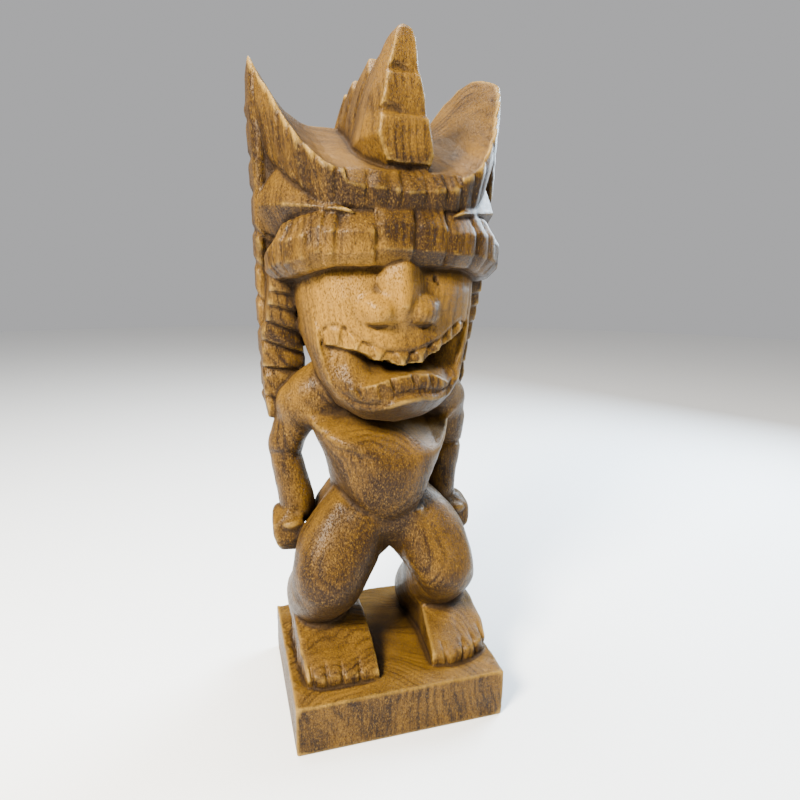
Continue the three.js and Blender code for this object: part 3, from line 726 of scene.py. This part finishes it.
def dish_floor(x, y):
    """Height of the dish: it climbs evenly to the rear and ever steeper towards the horns."""
    rise = np.where(x < 0, along(LEFT_RISE, -x), along(RIGHT_RISE, x))
    return DISH_HEIGHT + DISH_SLOPE * y + rise


BRIM_CUTS = [
    (-124, -126, 1.4, 7, 7), (-108, -111, 1.6, 8, 8), (-94, -97, 1.8, 8, 8), (-82, -85, 1.7, 7, 8),
    (-71, -73, 1.9, 7, 9), (-60, -61, 1.3, 5, 6), (-46, -48, 2.0, 8, 6), (-25, -27, 1.9, 7, 5),
    (-11, -12, 1.2, 5, 5), (-2, -3, 1.7, 6, 5), (15, 15, 1.6, 6, 5), (29, 30, 1.7, 6, 5),
    (39, 41, 1.5, 5, 5), (51, 53, 1.6, 5, 5), (62, 65, 1.5, 5, 5), (74, 77, 1.5, 5, 6),
    (86, 89, 1.5, 5, 6), (98, 102, 1.4, 5, 6), (110, 114, 1.3, 5, 6), (122, 126, 1.2, 5, 6)]


def headdress(block):
    """The brim: outlines from front, side and above kept together, faceted and hollowed by the dish.

    Its rim has a slanted facet that falls forward from the dish, an upright one and one turned under.
    """
    edge = curve(BRIM_RIM, 80)
    length = np.linalg.norm(np.diff(edge, axis=0), axis=1).sum()

    def brim(x, y, z):
        plan = flat_distance(BRIM_PLAN, x, y)
        _, share = line_distance(edge, x, y)
        turn = along(BRIM_TURN, np.abs(x))
        cut, one, two = cut_edge((share - 0.5) * length, (z - turn + 10) / 22, BRIM_CUTS, SEED + 1)
        front = ramp(24 - y, 0, 20)
        slant = ramp(58 - np.abs(x), 0, 20)
        bevel = (z - turn - 1 - 0.8 * one) * 0.57 + (plan + 0.5) * 0.82 - 80 * (1 - slant * front)
        under = (plan + 0.35 * (turn - z) - 0.3 * two) * 0.94 - 5 * (1 - front)
        whole = keep(flat_distance(BRIM_FRONT, x, z) - 0.4, flat_distance(BRIM_SIDE, y, z) - 1.0, 4.0)
        whole = keep(whole, plan - 0.4 + 0.4 * one * front, 1.5)
        whole = keep(keep(whole, bevel, 0.6), under, 0.6)
        return whole + 1.05 * cut * front * ramp(plan, -14, -5) * (0.2 + 0.8 * ramp(z, 390, 401))
    block.add((brim, (-98, -67, 385), (98, 70, 513)), 0.0)

    def air(x, y, z):
        steep = np.interp(np.abs(x), [40, 60, 80, 96], [1.0, 0.72, 0.58, 0.5])
        return (dish_floor(x, y) - z) * 0.9 * steep
    block.cut((air, (-100, -80, 395), (100, 78, 514)), 0.8)


CREST_SIDE = [
    (-50.5, 400), (-50.5, 416.5), (-53.5, 419.5), (-54.8, 425), (-55, 434), (-54.4, 442),
    (-53.8, 447.2), (-50.4, 450.4), (-50.8, 454.5), (-51.6, 461), (-51.2, 469), (-50.2, 474.2),
    (-47.0, 477.2), (-47.4, 481.5), (-47.6, 488), (-46.5, 497), (-43.5, 504.5), (-38.5, 508.3),
    (-33, 505), (-18, 495), (1, 487), (15, 503), (32, 484), (46, 496), (54, 485), (62, 490), (70, 474),
    (73, 450), (70, 400)]
# Height of the crest, and how far left and right its front reaches there
CREST_WIDTH = [
    (415, -15.5, 18.5), (425, -21.5, 21), (437, -25, 19.2), (451, -21, 16.6), (469, -16.6, 13),
    (480, -12.8, 11.4), (491, -9.3, 10.4), (499, -6.6, 10), (503.5, -4.6, 8.8), (506.5, -2.2, 6.6),
    (508.5, 1.2, 3.4)]
SAW_VALLEYS = (1, 32, 54)


def crest(block):
    """A fin cut from a side outline: stacked blocks in front, saw teeth behind, leaning to one side.

    In front its sides come from a table by height, and they pass over to an even width at the rear.
    """
    heights, lefts, rights = zip(*CREST_WIDTH)

    def distance(x, y, z):
        wide = np.interp(z, [430, 465, 490, 505], [20, 18.5, 12, 6])
        rear = np.clip((y + 20) / 70, 0, 1)
        lean = -0.045 * (y + 30)
        left = np.interp(z, heights, lefts) * (1 - rear) + (lean - wide) * rear
        right = np.interp(z, heights, rights) * (1 - rear) + (lean + wide) * rear
        saw = sum(nick(y + 0.22 * (z - 480), valley, 1.5, 9.0) for valley in SAW_VALLEYS)
        saw = 3.0 * saw * ramp(z, 440, 470)
        bevel = np.interp(z, [420, 450, 500], [0.34, 0.26, 0.14]) * np.maximum(-30 - y, 0)
        sides = keep(left - x + bevel, x - right, 0.5) + saw
        return keep(sides * 0.95, flat_distance(CREST_SIDE, y, z) - 0.4, 1.6)
    block.add((distance, (-31, -58, 398), (30, 76, 511)), 0.8)


def crest_cuts(block):
    """Undercuts on the crest's front: a dark slit under its foot and a curved nick at each step."""
    slit = [(-18, -52.5, 420.5), (-8, -54.5, 417.6), (5, -55, 416.8), (17, -53.5, 418)]
    block.cut(limb(slit, [1.2, 2.3, 2.6, 1.3], flat=(1, 2.4, 1), soft=1), 0.4)
    low_step = [(-17, -48, 450.5), (-12, -50, 453.4), (-6, -50, 453.6), (0, -49.5, 451.4)]
    block.score(low_step, 3.2, 2.4, taper=0.4)
    high_step = [(-9, -46, 477.5), (-5, -46.5, 480.2), (0, -46.5, 480), (4, -46, 477.8)]
    block.score(high_step, 3.0, 2.0, taper=0.4)


LOCK_LEFT = [
    (64, 374), (65, 318), (61, 300), (57.5, 285), (57, 262), (60, 240), (78, 231), (87, 234),
    (89.5, 252), (90.5, 278), (91, 304), (88, 312), (85, 345), (79, 374)]
LOCK_RIGHT = [
    (64, 374), (65, 318), (61, 300), (58, 285), (58, 268), (64, 254), (74, 249), (80, 262), (82, 288),
    (84, 312), (83, 345), (78, 374)]
LOCK_FRONT = [
    (231, 26), (240, 23), (262, 21.5), (285, 19), (300, 14.5), (312, 9), (325, 3), (340, -4), (352, -9),
    (374, -9)]
# Cuts between the strands of a side lock: height at its outer and inner edge, and depth
LOCK_CUTS = [
    (346, 340, 1.8), (334.5, 330.5, 2.4), (324.5, 318, 2.4), (312, 302.5, 3.2), (296, 286.5, 3.2),
    (275, 272.5, 3.2), (252, 245, 2.4)]


def strands(block):
    """A lock each side, from behind the band's end down to the shoulder, parted by slanting cuts.

    It is the outline from the front, kept behind a front line by height that bulges across.
    """
    for side, outline in ((-1, LOCK_LEFT), (1, LOCK_RIGHT)):
        def distance(x, y, z):
            x = side * x
            crown = 3.5 * ((x - 75) / 15) ** 2 * ramp(z, 238, 262)
            front = (along(LOCK_FRONT, z) + crown - y) * 0.85
            share = (x - 62) / 26
            cuts = sum(depth * nick(-z, -(inner + (outer - inner) * share), 1.2, 8.0)
                       for outer, inner, depth in LOCK_CUTS)
            return keep(keep(flat_distance(outline, x, z), front + cuts, 2.5), y - 40)
        low, high = sorted((side * 54, side * 94))
        block.add((distance, (low, -12, 228), (high, 42, 376)), 0.5)


# Toe gaps: place across at the ground and at the top, and how far forward the foot ends there
LEFT_TOE_GAPS = [(-66.5, -68.5, -57), (-56, -57.5, -58), (-45, -45, -58), (-31.5, -31, -58)]
RIGHT_TOE_GAPS = [(39.5, 38.5, -56), (53.5, 55.5, -56), (66.5, 65, -52.5), (76.5, 74.5, -46.5)]
TOE_CUT = 2.2
# Lines where the feet meet the plinth in front
TOE_LINES = [
    [(-72, -53), (-64, -57.5), (-45, -60), (-18, -58.5)],
    [(29, -55), (44, -58.5), (62, -56), (76, -47), (80, -38)]]


def toes(block):
    """V cuts that part the toes, up over the front and a little way back, and a line along their foot."""
    for low, top, front in LEFT_TOE_GAPS + RIGHT_TOE_GAPS:
        spans, x, y, z = block.window((low - 6, front - 6, 40), (low + 6, front + 22, 66), 1)
        across = low + (top - low) * (z - 43) / 13
        fade = ramp(front + 15 - y, 0, 8) * ramp(z, 41.5, 44.5) * ramp(66 - z, 0, 4)
        block.field[spans] += TOE_CUT * nick(x, across, 1.2, 2.0) * fade
    for points in TOE_LINES:
        line = curve(points, 12)
        block.score(np.column_stack([line, np.full(len(line), PLINTH_TOP + 0.5)]), 2.6, 0.9)


# Points of each crease, steps of its curve, width, depth, and the share over which its ends fade
CREASES = [
    ([(-42, -8, 180), (-29, -30, 174), (-14, -36, 164), (0, -34, 157), (14, -37, 165), (32, -27, 174),
      (41, -12, 181)], 16, 4.5, 2.2, 0.25),
    ([(-90, 20, 205), (-80, 10, 206.5), (-68, 10, 206), (-61, 18, 204)], 8, 3.6, 2.6, 0.1),
    ([(78, 20, 205), (66, 10, 207), (54, 14, 206)], 8, 3.4, 2.0, 0.25),
    ([(-58, -4, 228), (-51, -13, 236), (-43, -20, 243), (-34, -24, 250)], 8, 3.4, 1.0, 0.25),
    ([(-57, -12, 222), (-50, -22, 229), (-43, -27, 236)], 8, 2.8, 0.7, 0.25),
    ([(-50, -26, 220), (-38, -34, 217.5), (-26, -39.5, 214), (-15, -41, 211)], 10, 3.2, 2.1, 0.25),
    ([(-86, 4, 151), (-76, -2, 147), (-64, 2, 150)], 8, 2.6, 1.3, 0.25),
    ([(-88, 6, 137), (-76, -1, 134), (-64, 3, 139)], 8, 2.6, 1.2, 0.25),
    ([(-89, 16, 157), (-78, 4, 160), (-64, 8, 161)], 8, 3.0, 1.4, 0.25)]


def creases(block):
    """Lines scored where the carver parted one form from the next."""
    for points, steps, width, depth, taper in CREASES:
        block.score(curve(points, steps), width, depth, taper)


def grain_of_samples(block, cell, seed):
    """Even noise between -1 and 1: random values on a coarse lattice, spread smoothly along each axis."""
    rng = np.random.default_rng(seed)
    weights = []
    for axis in block.axes:
        u = (axis - axis[0]) / cell
        k = u.astype(int)
        t = ramp(u - k, 0, 1)
        w = np.zeros((len(axis), k[-1] + 2), np.float32)
        w[np.arange(len(axis)), k] = 1 - t
        w[np.arange(len(axis)), k + 1] = t
        weights.append(w)
    lattice = rng.uniform(-1, 1, [w.shape[1] for w in weights]).astype(np.float32)
    part = np.tensordot(weights[0], lattice, axes=(1, 0))
    part = np.tensordot(part, weights[1], axes=(1, 1))
    return np.tensordot(part, weights[2], axes=(1, 1))


def hand_work(block):
    """The unevenness of a hand-cut surface: noise of two sizes, added to the distance.

    On the rough strip beside the foot the folds of a third noise are added as gouges.
    """
    grip = ramp(block.axes[2], 2, 9)[None, None, :]
    grain = 0.42 * grain_of_samples(block, 13.0, SEED) + 0.22 * grain_of_samples(block, 5.0, SEED + 3)
    block.field += grain * grip
    spans, x, y, z = block.window((-82, -60, 36), (-68, 70, 62), 2)
    rough = grain_of_samples(block, 7.5, SEED + 5)[spans]
    gouge = np.abs(rough + 0.3 * np.sin((y + 0.8 * x) / 3.1))
    block.field[spans] += (0.8 - 1.8 * gouge) * ramp(-71 - x, 0, 3) * ramp(x + 81, 0, 2) * ramp(z, 36, 40)


def sculpt(step):
    """The whole statue: forms from the ground up, then the cuts, then the unevenness of the tools."""
    block = Block(step)
    plinth(block)
    foot(block, LEFT_FOOT, 2.5)
    foot(block, RIGHT_FOOT, 0)
    leg(block, LEFT_THIGH, LEFT_SHIN, LEFT_HIP, LEFT_PLANES)
    leg(block, RIGHT_THIGH, RIGHT_SHIN, RIGHT_HIP, RIGHT_PLANES)
    fork(block)
    torso(block)
    arm(block, -1, *LEFT_ARM)
    arm(block, 1, *RIGHT_ARM)
    for part in (head, hair, headdress, crest, face, nose, strands, brow_band, temple_blocks,
                 crest_cuts, toes, creases, hand_work):
        part(block)
    return block


# Blender: the statue's mesh

def read(block, values, place):
    """Values of a sampled array at any places, blended from the eight samples round each."""
    u = (place - np.array(BLOCK_LOW)) / block.step
    k = np.clip(u.astype(int), 0, np.array(values.shape) - 2)
    t = u - k
    total = 0.0
    for corner in np.ndindex(2, 2, 2):
        weight = np.prod(np.where(corner, t, 1 - t), axis=1)
        total = total + weight * values[tuple((k + corner).T)]
    return total


def skin(block):
    """Surface net of the zero level: a point in each cell it enters, a quad round each edge it crosses.

    The point stands at the mean of the crossings on the cell's edges. A quad's corners are the four
    cells round the edge, turned so that it faces away from the wood. Places are in millimetres.
    """
    field = block.field
    inside = field < 0
    strides = np.array([field.shape[1] * field.shape[2], field.shape[2], 1])
    rings, places = [], []
    for axis in range(3):
        near = tuple(slice(0, -1) if k == axis else slice(None) for k in range(3))
        far = tuple(slice(1, None) if k == axis else slice(None) for k in range(3))
        at = np.argwhere(inside[near] != inside[far])
        pick = tuple(at.T)
        low, high = field[near][pick], field[far][pick]
        place = at.astype(float)
        place[:, axis] += low / (low - high)
        index = at @ strides
        u, v = strides[(axis + 1) % 3], strides[(axis + 2) % 3]
        ring = np.stack([index - u - v, index - v, index, index - u], axis=1)
        leaves = inside[near][pick][:, None]
        rings.append(np.where(leaves, ring, ring[:, ::-1]))
        places.append(np.repeat(place, 4, axis=0))
    rings, places = np.concatenate(rings), np.concatenate(places)
    _, number = np.unique(rings, return_inverse=True)
    number = number.ravel()
    count = np.bincount(number)
    middle = np.stack([np.bincount(number, weights=places[:, k]) / count for k in range(3)], axis=1)
    return middle * block.step + np.array(BLOCK_LOW), number.reshape(rings.shape)


def whole_skin(place, quads):
    """The largest connected skin, without specks beside it or bubbles inside.

    Each point takes the lowest label round its quads, and then that label's own, until no label changes.
    """
    label = np.arange(len(place))
    while True:
        lower = label.copy()
        np.minimum.at(lower, quads.ravel(), np.repeat(label[quads].min(axis=1), 4))
        lower = lower[lower]
        if (lower == label).all():
            break
        label = lower
    kept = quads[label[quads[:, 0]] == np.bincount(label[quads[:, 0]]).argmax()]
    used, number = np.unique(kept, return_inverse=True)
    return place[used], number.reshape(kept.shape)


def slopes(block, place, reach):
    """The field's slope along each axis: the difference over a short way to either side."""
    def at(way):
        return read(block, block.field, place + reach * way)
    return np.stack([(at(way) - at(-way)) / (2 * reach) for way in np.eye(3)], axis=1)


def settle(block, place):
    """One step towards the field's zero: the value over the slope's square, times the slope."""
    slope = slopes(block, place, 0.5 * block.step)
    value = read(block, block.field, place)
    move = (value / np.maximum((slope**2).sum(axis=1), 0.25))[:, None] * slope
    return place - np.clip(move, -0.4 * block.step, 0.4 * block.step)


def blurred(values, reach):
    """A bell blur, axis by axis: a weighted mean of the neighbours out to 2.5 times the reach."""
    span = int(math.ceil(2.5 * reach))
    weights = np.exp(-0.5 * (np.arange(-span, span + 1) / reach) ** 2)
    weights /= weights.sum()
    for axis in range(3):
        padded = np.pad(values, [(span, span) if k == axis else (0, 0) for k in range(3)], mode="edge")
        size = values.shape[axis]
        total = 0.0
        for k, weight in enumerate(weights):
            part = tuple(slice(k, k + size) if a == axis else slice(None) for a in range(3))
            total = total + np.float32(weight) * padded[part]
        values = total
    return values


def put(name, data):
    """An object of this name in the scene."""
    made = bpy.data.objects.new(name, data)
    bpy.context.scene.collection.objects.link(made)
    return made


def note(mesh, name, values):
    """Keeps one number for each point of the mesh, for the finish to read."""
    layer = mesh.attributes.new(name, "FLOAT", "POINT")
    layer.data.foreach_set("value", values.astype(np.float32))


# Reach of the balls in which the wood is weighed, in millimetres
RECESSES = (("recess_fine", 2.6), ("recess_wide", 9.0))
TRIANGLES = 190000
# Where the mesh stays fine: forward of this, and between these heights
FACE_BACK = -30.0
FACE_HEIGHTS = (244.0, 254.0, 352.0)


def statue():
    """The statue's mesh in metres, with how deep each point lies in a recess kept as two attributes.

    A point's recess is the share of wood in a soft ball round it, less a half: above zero in hollows,
    below on ridges. A third attribute holds how far the surface faces up: the upward share of the
    field's slope.
    """
    block = sculpt(FINE_STEP)
    place, quads = whole_skin(*skin(block))
    place = settle(block, place)
    place[:, 2] = np.maximum(place[:, 2], 0)
    mesh = bpy.data.meshes.new("carved_tiki")
    mesh.from_pydata((place / 1000).tolist(), [], quads.tolist())
    mesh.validate()
    rough = put("carved_tiki_rough", mesh)
    ratio = min(1.0, TRIANGLES / (2 * len(quads)))
    if ratio < 1:
        low, full, high = FACE_HEIGHTS
        height = place[:, 2]
        plain = 1 - ramp(FACE_BACK - place[:, 1], 0, 8) * ramp(height, low, full) * (height < high)
        group = rough.vertex_groups.new(name="plain")
        for level in np.linspace(0, 1, 5):
            near = np.flatnonzero(np.round(plain * 4) / 4 == level)
            group.add(near.tolist(), float(level), "REPLACE")
        thin = rough.modifiers.new("thin", "DECIMATE")
        thin.ratio = ratio
        thin.vertex_group = "plain"
        thin.vertex_group_factor = 1.0
    graph = bpy.context.evaluated_depsgraph_get()
    done = bpy.data.meshes.new_from_object(rough.evaluated_get(graph))
    done.validate()
    done.name = "carved_tiki"
    bpy.data.objects.remove(rough)
    bpy.data.meshes.remove(mesh)
    done.polygons.foreach_set("use_smooth", np.ones(len(done.polygons), bool))

    flat = np.empty(len(done.vertices) * 3)
    done.vertices.foreach_get("co", flat)
    place = flat.reshape(-1, 3) * 1000
    wood = np.clip(0.5 - block.field / (2 * block.step), 0, 1).astype(np.float32)
    # Attributes from which the finish paints stain and shade in recesses, highlight on ridges and light
    # on surfaces that face up
    for name, reach in RECESSES:
        note(done, name, read(block, blurred(wood, reach / block.step), place) - 0.5)
    slope = slopes(block, place, block.step)
    note(done, "facing_up", slope[:, 2] / np.linalg.norm(slope, axis=1).clip(1e-6))
    return put("carved_tiki", done)


# Finishes

class Value:
    """A number that varies over the surface: arithmetic on it adds Math nodes."""

    def __init__(self, finish, socket):
        self.finish = finish
        self.socket = socket

    def math(self, operation, *others, clamp=False):
        inputs = dict(enumerate((self,) + others))
        made = self.finish.node("ShaderNodeMath", {"operation": operation, "use_clamp": clamp}, inputs)
        return Value(self.finish, made.outputs[0])

    def flipped(self, operation, other):
        made = self.finish.node("ShaderNodeMath", {"operation": operation}, {0: other, 1: self})
        return Value(self.finish, made.outputs[0])

    def __add__(self, other):
        return self.math("ADD", other)

    def __radd__(self, other):
        return self.math("ADD", other)

    def __sub__(self, other):
        return self.math("SUBTRACT", other)

    def __rsub__(self, other):
        return self.flipped("SUBTRACT", other)

    def __mul__(self, other):
        return self.math("MULTIPLY", other)

    def __rmul__(self, other):
        return self.math("MULTIPLY", other)

    def __pow__(self, other):
        return self.math("POWER", other)

    def held(self):
        """Kept between 0 and 1."""
        return self.math("ADD", 0.0, clamp=True)

    def rise(self, low, high):
        """Smooth step from 0 at low to 1 at high."""
        made = self.finish.node("ShaderNodeMapRange", {"interpolation_type": "SMOOTHSTEP"},
                                {"Value": self, "From Min": low, "From Max": high})
        return Value(self.finish, made.outputs[0])


class Finish:
    """A material under construction."""

    def __init__(self, name):
        self.material = bpy.data.materials.new(name)
        self.material.use_nodes = True
        self.tree = self.material.node_tree
        self.tree.nodes.clear()

    def node(self, kind, settings=None, inputs=None):
        """Adds a node: its settings first, then a value or a link for each named socket."""
        made = self.tree.nodes.new(kind)
        for name, value in (settings or {}).items():
            setattr(made, name, value)
        for key, value in (inputs or {}).items():
            if isinstance(value, Value):
                self.tree.links.new(value.socket, made.inputs[key])
            elif isinstance(value, bpy.types.NodeSocket):
                self.tree.links.new(value, made.inputs[key])
            else:
                made.inputs[key].default_value = value
        return made

    def value(self, made, output=0):
        return Value(self, made.outputs[output])

    def noise(self, place, scale, detail=2.0, rough=0.5):
        """Noise between 0 and 1; scale is in cells to the metre after any squeeze of the place."""
        made = self.node("ShaderNodeTexNoise", None, {
            "Vector": place, "Scale": scale, "Detail": detail, "Roughness": rough})
        return self.value(made)

    def squeezed(self, place, factors):
        """A place multiplied along each axis, which draws a pattern out where the factor is small."""
        made = self.node("ShaderNodeVectorMath", {"operation": "MULTIPLY"}, {0: place, 1: factors})
        return made.outputs[0]

    def noted(self, name):
        """The number kept for each point of the mesh under this name."""
        return self.value(self.node("ShaderNodeAttribute", {"attribute_name": name}), 2)

    def blend(self, share, first, second):
        """Colour between the first, at share 0, and the second, at share 1."""
        made = self.node("ShaderNodeMix", {"data_type": "RGBA"}, {0: share, 6: first, 7: second})
        return made.outputs[2]


# Paler (above zero) or darker patches: some are wear from handling, others painted light and shade,
# such as the lit cheeks and the shaded belly. Middle, reach, and change of tone
WEAR_AND_LIGHT_PATCHES = [
    ((-0.030, -0.056, 0.328), 0.058, 0.76), ((0.045, -0.045, 0.325), 0.040, 0.34),
    ((0.0, -0.050, 0.455), 0.060, 0.15), ((0.0, -0.030, 0.170), 0.080, -0.04),
    ((-0.025, -0.075, 0.388), 0.070, -0.16), ((0.040, -0.065, 0.390), 0.060, -0.09),
    ((0.0, -0.060, 0.252), 0.040, -0.08), ((-0.045, -0.045, 0.125), 0.070, -0.15),
    ((-0.090, 0.0, 0.300), 0.080, 0.10), ((0.030, 0.010, 0.445), 0.050, 0.18),
    ((-0.035, -0.025, 0.430), 0.040, 0.16)]


# How far left and in front of the plinth's middle the pith line starts, how it leans back with the
# height, and the spacing of the rings round it, in metres
PITH = (0.028, 0.140)
PITH_LEAN = 0.22
RING_SPACING = 0.0052
WIDE_RING_SPACING = 0.021

DARK_WOOD = (0.0145, 0.0056, 0.0005, 1)
LIGHT_WOOD = (0.205, 0.099, 0.0090, 1)
PORE_COLOUR = (0.0070, 0.0026, 0.0003, 1)
GLINT_COLOUR = (0.30, 0.170, 0.027, 1)
# Colour of the stain, also used as painted shade
STAIN_AND_SHADE_COLOUR = (0.0082, 0.0031, 0.0004, 1)
# Colour of rubbed wood, also used as painted highlight on ridges
RUBBED_AND_HIGHLIGHT_COLOUR = (0.37, 0.222, 0.042, 1)


def wood():
    """Carved hardwood, oiled golden brown.

    Growth rings are the distance from a leaning pith line in front of the block, bent by slow noise, so
    the rings come out nested on the knees, chest and feet. Fibres and pores are noise drawn out along
    the height. The patches, some of wear and some of painted light and shade, fade with the distance
    from their middles. Dark stain and painted shade gather where the recess attributes are high, less
    on surfaces that face up, and the ridges are painted lighter, as wear and as painted highlight.
    Surfaces that face up are painted lighter too: painted light from above.
    """
    f = Finish("oiled_carved_wood")
    place = f.node("ShaderNodeTexCoord").outputs["Object"]
    axes = f.node("ShaderNodeSeparateXYZ", None, {0: place})
    x, y, z = (f.value(axes, k) for k in range(3))
    bend = f.noise(place, 11.0, 1.0)
    bend_two = f.noise(f.squeezed(place, (1, 1, 0.5)), 19.0, 1.0)
    curl = f.noise(f.squeezed(place, (1, 1, 0.4)), 70.0, 2.0)
    dx = x + PITH[0] + (bend - 0.5) * 0.055
    dy = y + PITH[1] - z * PITH_LEAN + (bend_two - 0.5) * 0.045
    reach = (dx * dx + dy * dy) ** 0.5 + (curl - 0.5) * 0.0018
    ring = (reach * (2 * math.pi / RING_SPACING)).math("SINE") * 0.5 + 0.5
    wide_ring = (reach * (2 * math.pi / WIDE_RING_SPACING)).math("SINE") * 0.5 + 0.5
    late = ring ** 2.2 * f.noise(place, 30.0, 2.0).rise(0.38, 0.62)

    fibre = f.noise(f.squeezed(place, (1, 1, 0.09)), 760.0, 4.0, 0.62)
    speck = f.noise(f.squeezed(place, (1, 1, 0.5)), 1100.0, 3.0, 0.66)
    pores = speck.rise(0.52, 0.68)
    glint = (1.0 - speck).rise(0.52, 0.72)
    cloud = f.noise(place, 26.0, 4.0, 0.62)
    patch = f.noise(place, 9.0, 2.0)
    fine, wide, up = (f.noted(name) for name in ("recess_fine", "recess_wide", "facing_up"))

    # Patches of wear and of painted light and shade, each fading from its middle
    wear_and_light = 0.0
    for centre, size, amount in WEAR_AND_LIGHT_PATCHES:
        gap = f.value(f.node("ShaderNodeVectorMath", {"operation": "DISTANCE"}, {0: place, 1: centre}), 1)
        wear_and_light = amount * (1.0 - gap.rise(0.4 * size, size)) + wear_and_light
    # Surfaces that face up get a lighter tone: painted light from above
    tone = (0.19 + wear_and_light + (cloud - 0.5) * 0.46 + (patch - 0.5) * 0.26 + (fibre - 0.5) * 0.70 + up * 0.20
            + (wide_ring - 0.5) * 0.14 - late * 0.22).held()
    colour = f.blend(tone, DARK_WOOD, LIGHT_WOOD)
    colour = f.blend(pores * 0.56, colour, PORE_COLOUR)
    colour = f.blend(glint * 0.30, colour, GLINT_COLOUR)
    # Stain and painted shade: darker where the recess attributes are high, less on surfaces that face up
    stain_and_shade = (fine.rise(0.010, 0.15) * 0.85 + wide.rise(0.0, 0.22) * 0.72 - up * 0.16
             + (cloud - 0.5) * 0.3).held()
    colour = f.blend(stain_and_shade * 0.80, colour, STAIN_AND_SHADE_COLOUR)
    # Ridges painted lighter: wear on the edges and painted highlight
    rubbed_and_highlight = (fine * -1.0).rise(0.07, 0.24)
    colour = f.blend(rubbed_and_highlight * 0.46, colour, RUBBED_AND_HIGHLIGHT_COLOUR)

    rough = 0.43 + stain_and_shade * 0.25 + (fibre - 0.5) * 0.20 + pores * 0.12
    relief = fibre * 0.40 + pores * -0.7 + late * -0.12 + f.noise(place, 160.0, 2.0) * 0.5
    bump = f.node("ShaderNodeBump", None, {"Strength": 0.75, "Distance": 0.0007, "Height": relief})
    shader = f.node("ShaderNodeBsdfPrincipled", None, {
        "Base Color": colour, "Roughness": rough, "Normal": bump.outputs[0],
        "IOR": 1.5, "Specular IOR Level": 0.13})
    f.node("ShaderNodeOutputMaterial", None, {"Surface": shader.outputs[0]})
    return f.material


def pale(name, colour, rough):
    """A plain matt finish."""
    f = Finish(name)
    shader = f.node("ShaderNodeBsdfPrincipled", None, {"Base Color": colour, "Roughness": rough})
    f.node("ShaderNodeOutputMaterial", None, {"Surface": shader.outputs[0]})
    return f.material


# Scene: floor, lights and camera

# The floor's reach, and its drop below the plinth, in metres
FLOOR_REACH = 4
FLOOR_DROP = 0.0002
FLOOR_POINTS = 96


def floor():
    """A wide disc just under the plinth: points at even angles round the middle."""
    turn = np.linspace(0, 2 * np.pi, FLOOR_POINTS, endpoint=False)
    level = np.full(FLOOR_POINTS, -FLOOR_DROP)
    ring = np.stack([FLOOR_REACH * np.cos(turn), FLOOR_REACH * np.sin(turn), level], axis=1)
    mesh = bpy.data.meshes.new("studio_floor")
    mesh.from_pydata(ring.tolist(), [], [list(range(FLOOR_POINTS))])
    disc = put("studio_floor", mesh)
    disc.data.materials.append(pale("pale_floor", (0.86, 0.86, 0.85, 1), 0.85))
    return disc


def lamp(name, place, aim, size, watts, colour):
    """A square soft light that faces its aim."""
    data = bpy.data.lights.new(name, "AREA")
    data.size, data.energy, data.color = size, watts, colour
    made = put(name, data)
    made.location = place
    made.rotation_euler = (Vector(aim) - Vector(place)).to_track_quat("-Z", "Y").to_euler()


def world(colour, strength):
    """Even light from all round."""
    sky = bpy.data.worlds.new("studio_air")
    sky.use_nodes = True
    background = sky.node_tree.nodes["Background"]
    background.inputs[0].default_value = colour
    background.inputs[1].default_value = strength
    bpy.context.scene.world = sky


# The photograph's view: place in metres, then turn right, pitch down and roll in degrees
EYE = (-0.122, -0.4545, 0.345)
EYE_TURN = (16.8, 11.5, 0.6)


def camera():
    """A camera at the photograph's place: its axes are built from the turn, the pitch and the roll."""
    data = bpy.data.cameras.new("photo_view")
    data.lens, data.sensor_width = 27.0, 36.0
    data.clip_start = 0.01
    eye = put("photo_view", data)
    yaw, pitch, roll = (math.radians(angle) for angle in EYE_TURN)
    ahead = Vector((math.sin(yaw) * math.cos(pitch), math.cos(yaw) * math.cos(pitch), -math.sin(pitch)))
    right = Vector((math.cos(yaw), -math.sin(yaw), 0))
    up = right.cross(ahead)
    side = right * math.cos(roll) + up * math.sin(roll)
    top = up * math.cos(roll) - right * math.sin(roll)
    turn = Matrix((side, top, -ahead)).transposed().to_4x4()
    eye.matrix_world = Matrix.Translation(EYE) @ turn
    bpy.context.scene.camera = eye


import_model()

piece = statue()
piece.data.materials.append(wood())
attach(piece, "root")
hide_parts("tiki_statue")
floor()

world((0.98, 0.98, 1.0, 1), 0.48)
lamp("key", (-0.85, -0.72, 1.04), (0, 0, 0.27), 0.36, 112.0, (1.0, 0.94, 0.82))
lamp("rim", (0.92, 0.40, 0.78), (0, 0, 0.28), 0.60, 56.0, (0.68, 0.84, 1.0))
lamp("top", (-0.10, 0.20, 1.35), (0, 0, 0.3), 0.5, 24.0, (1.0, 0.98, 0.95))
camera()
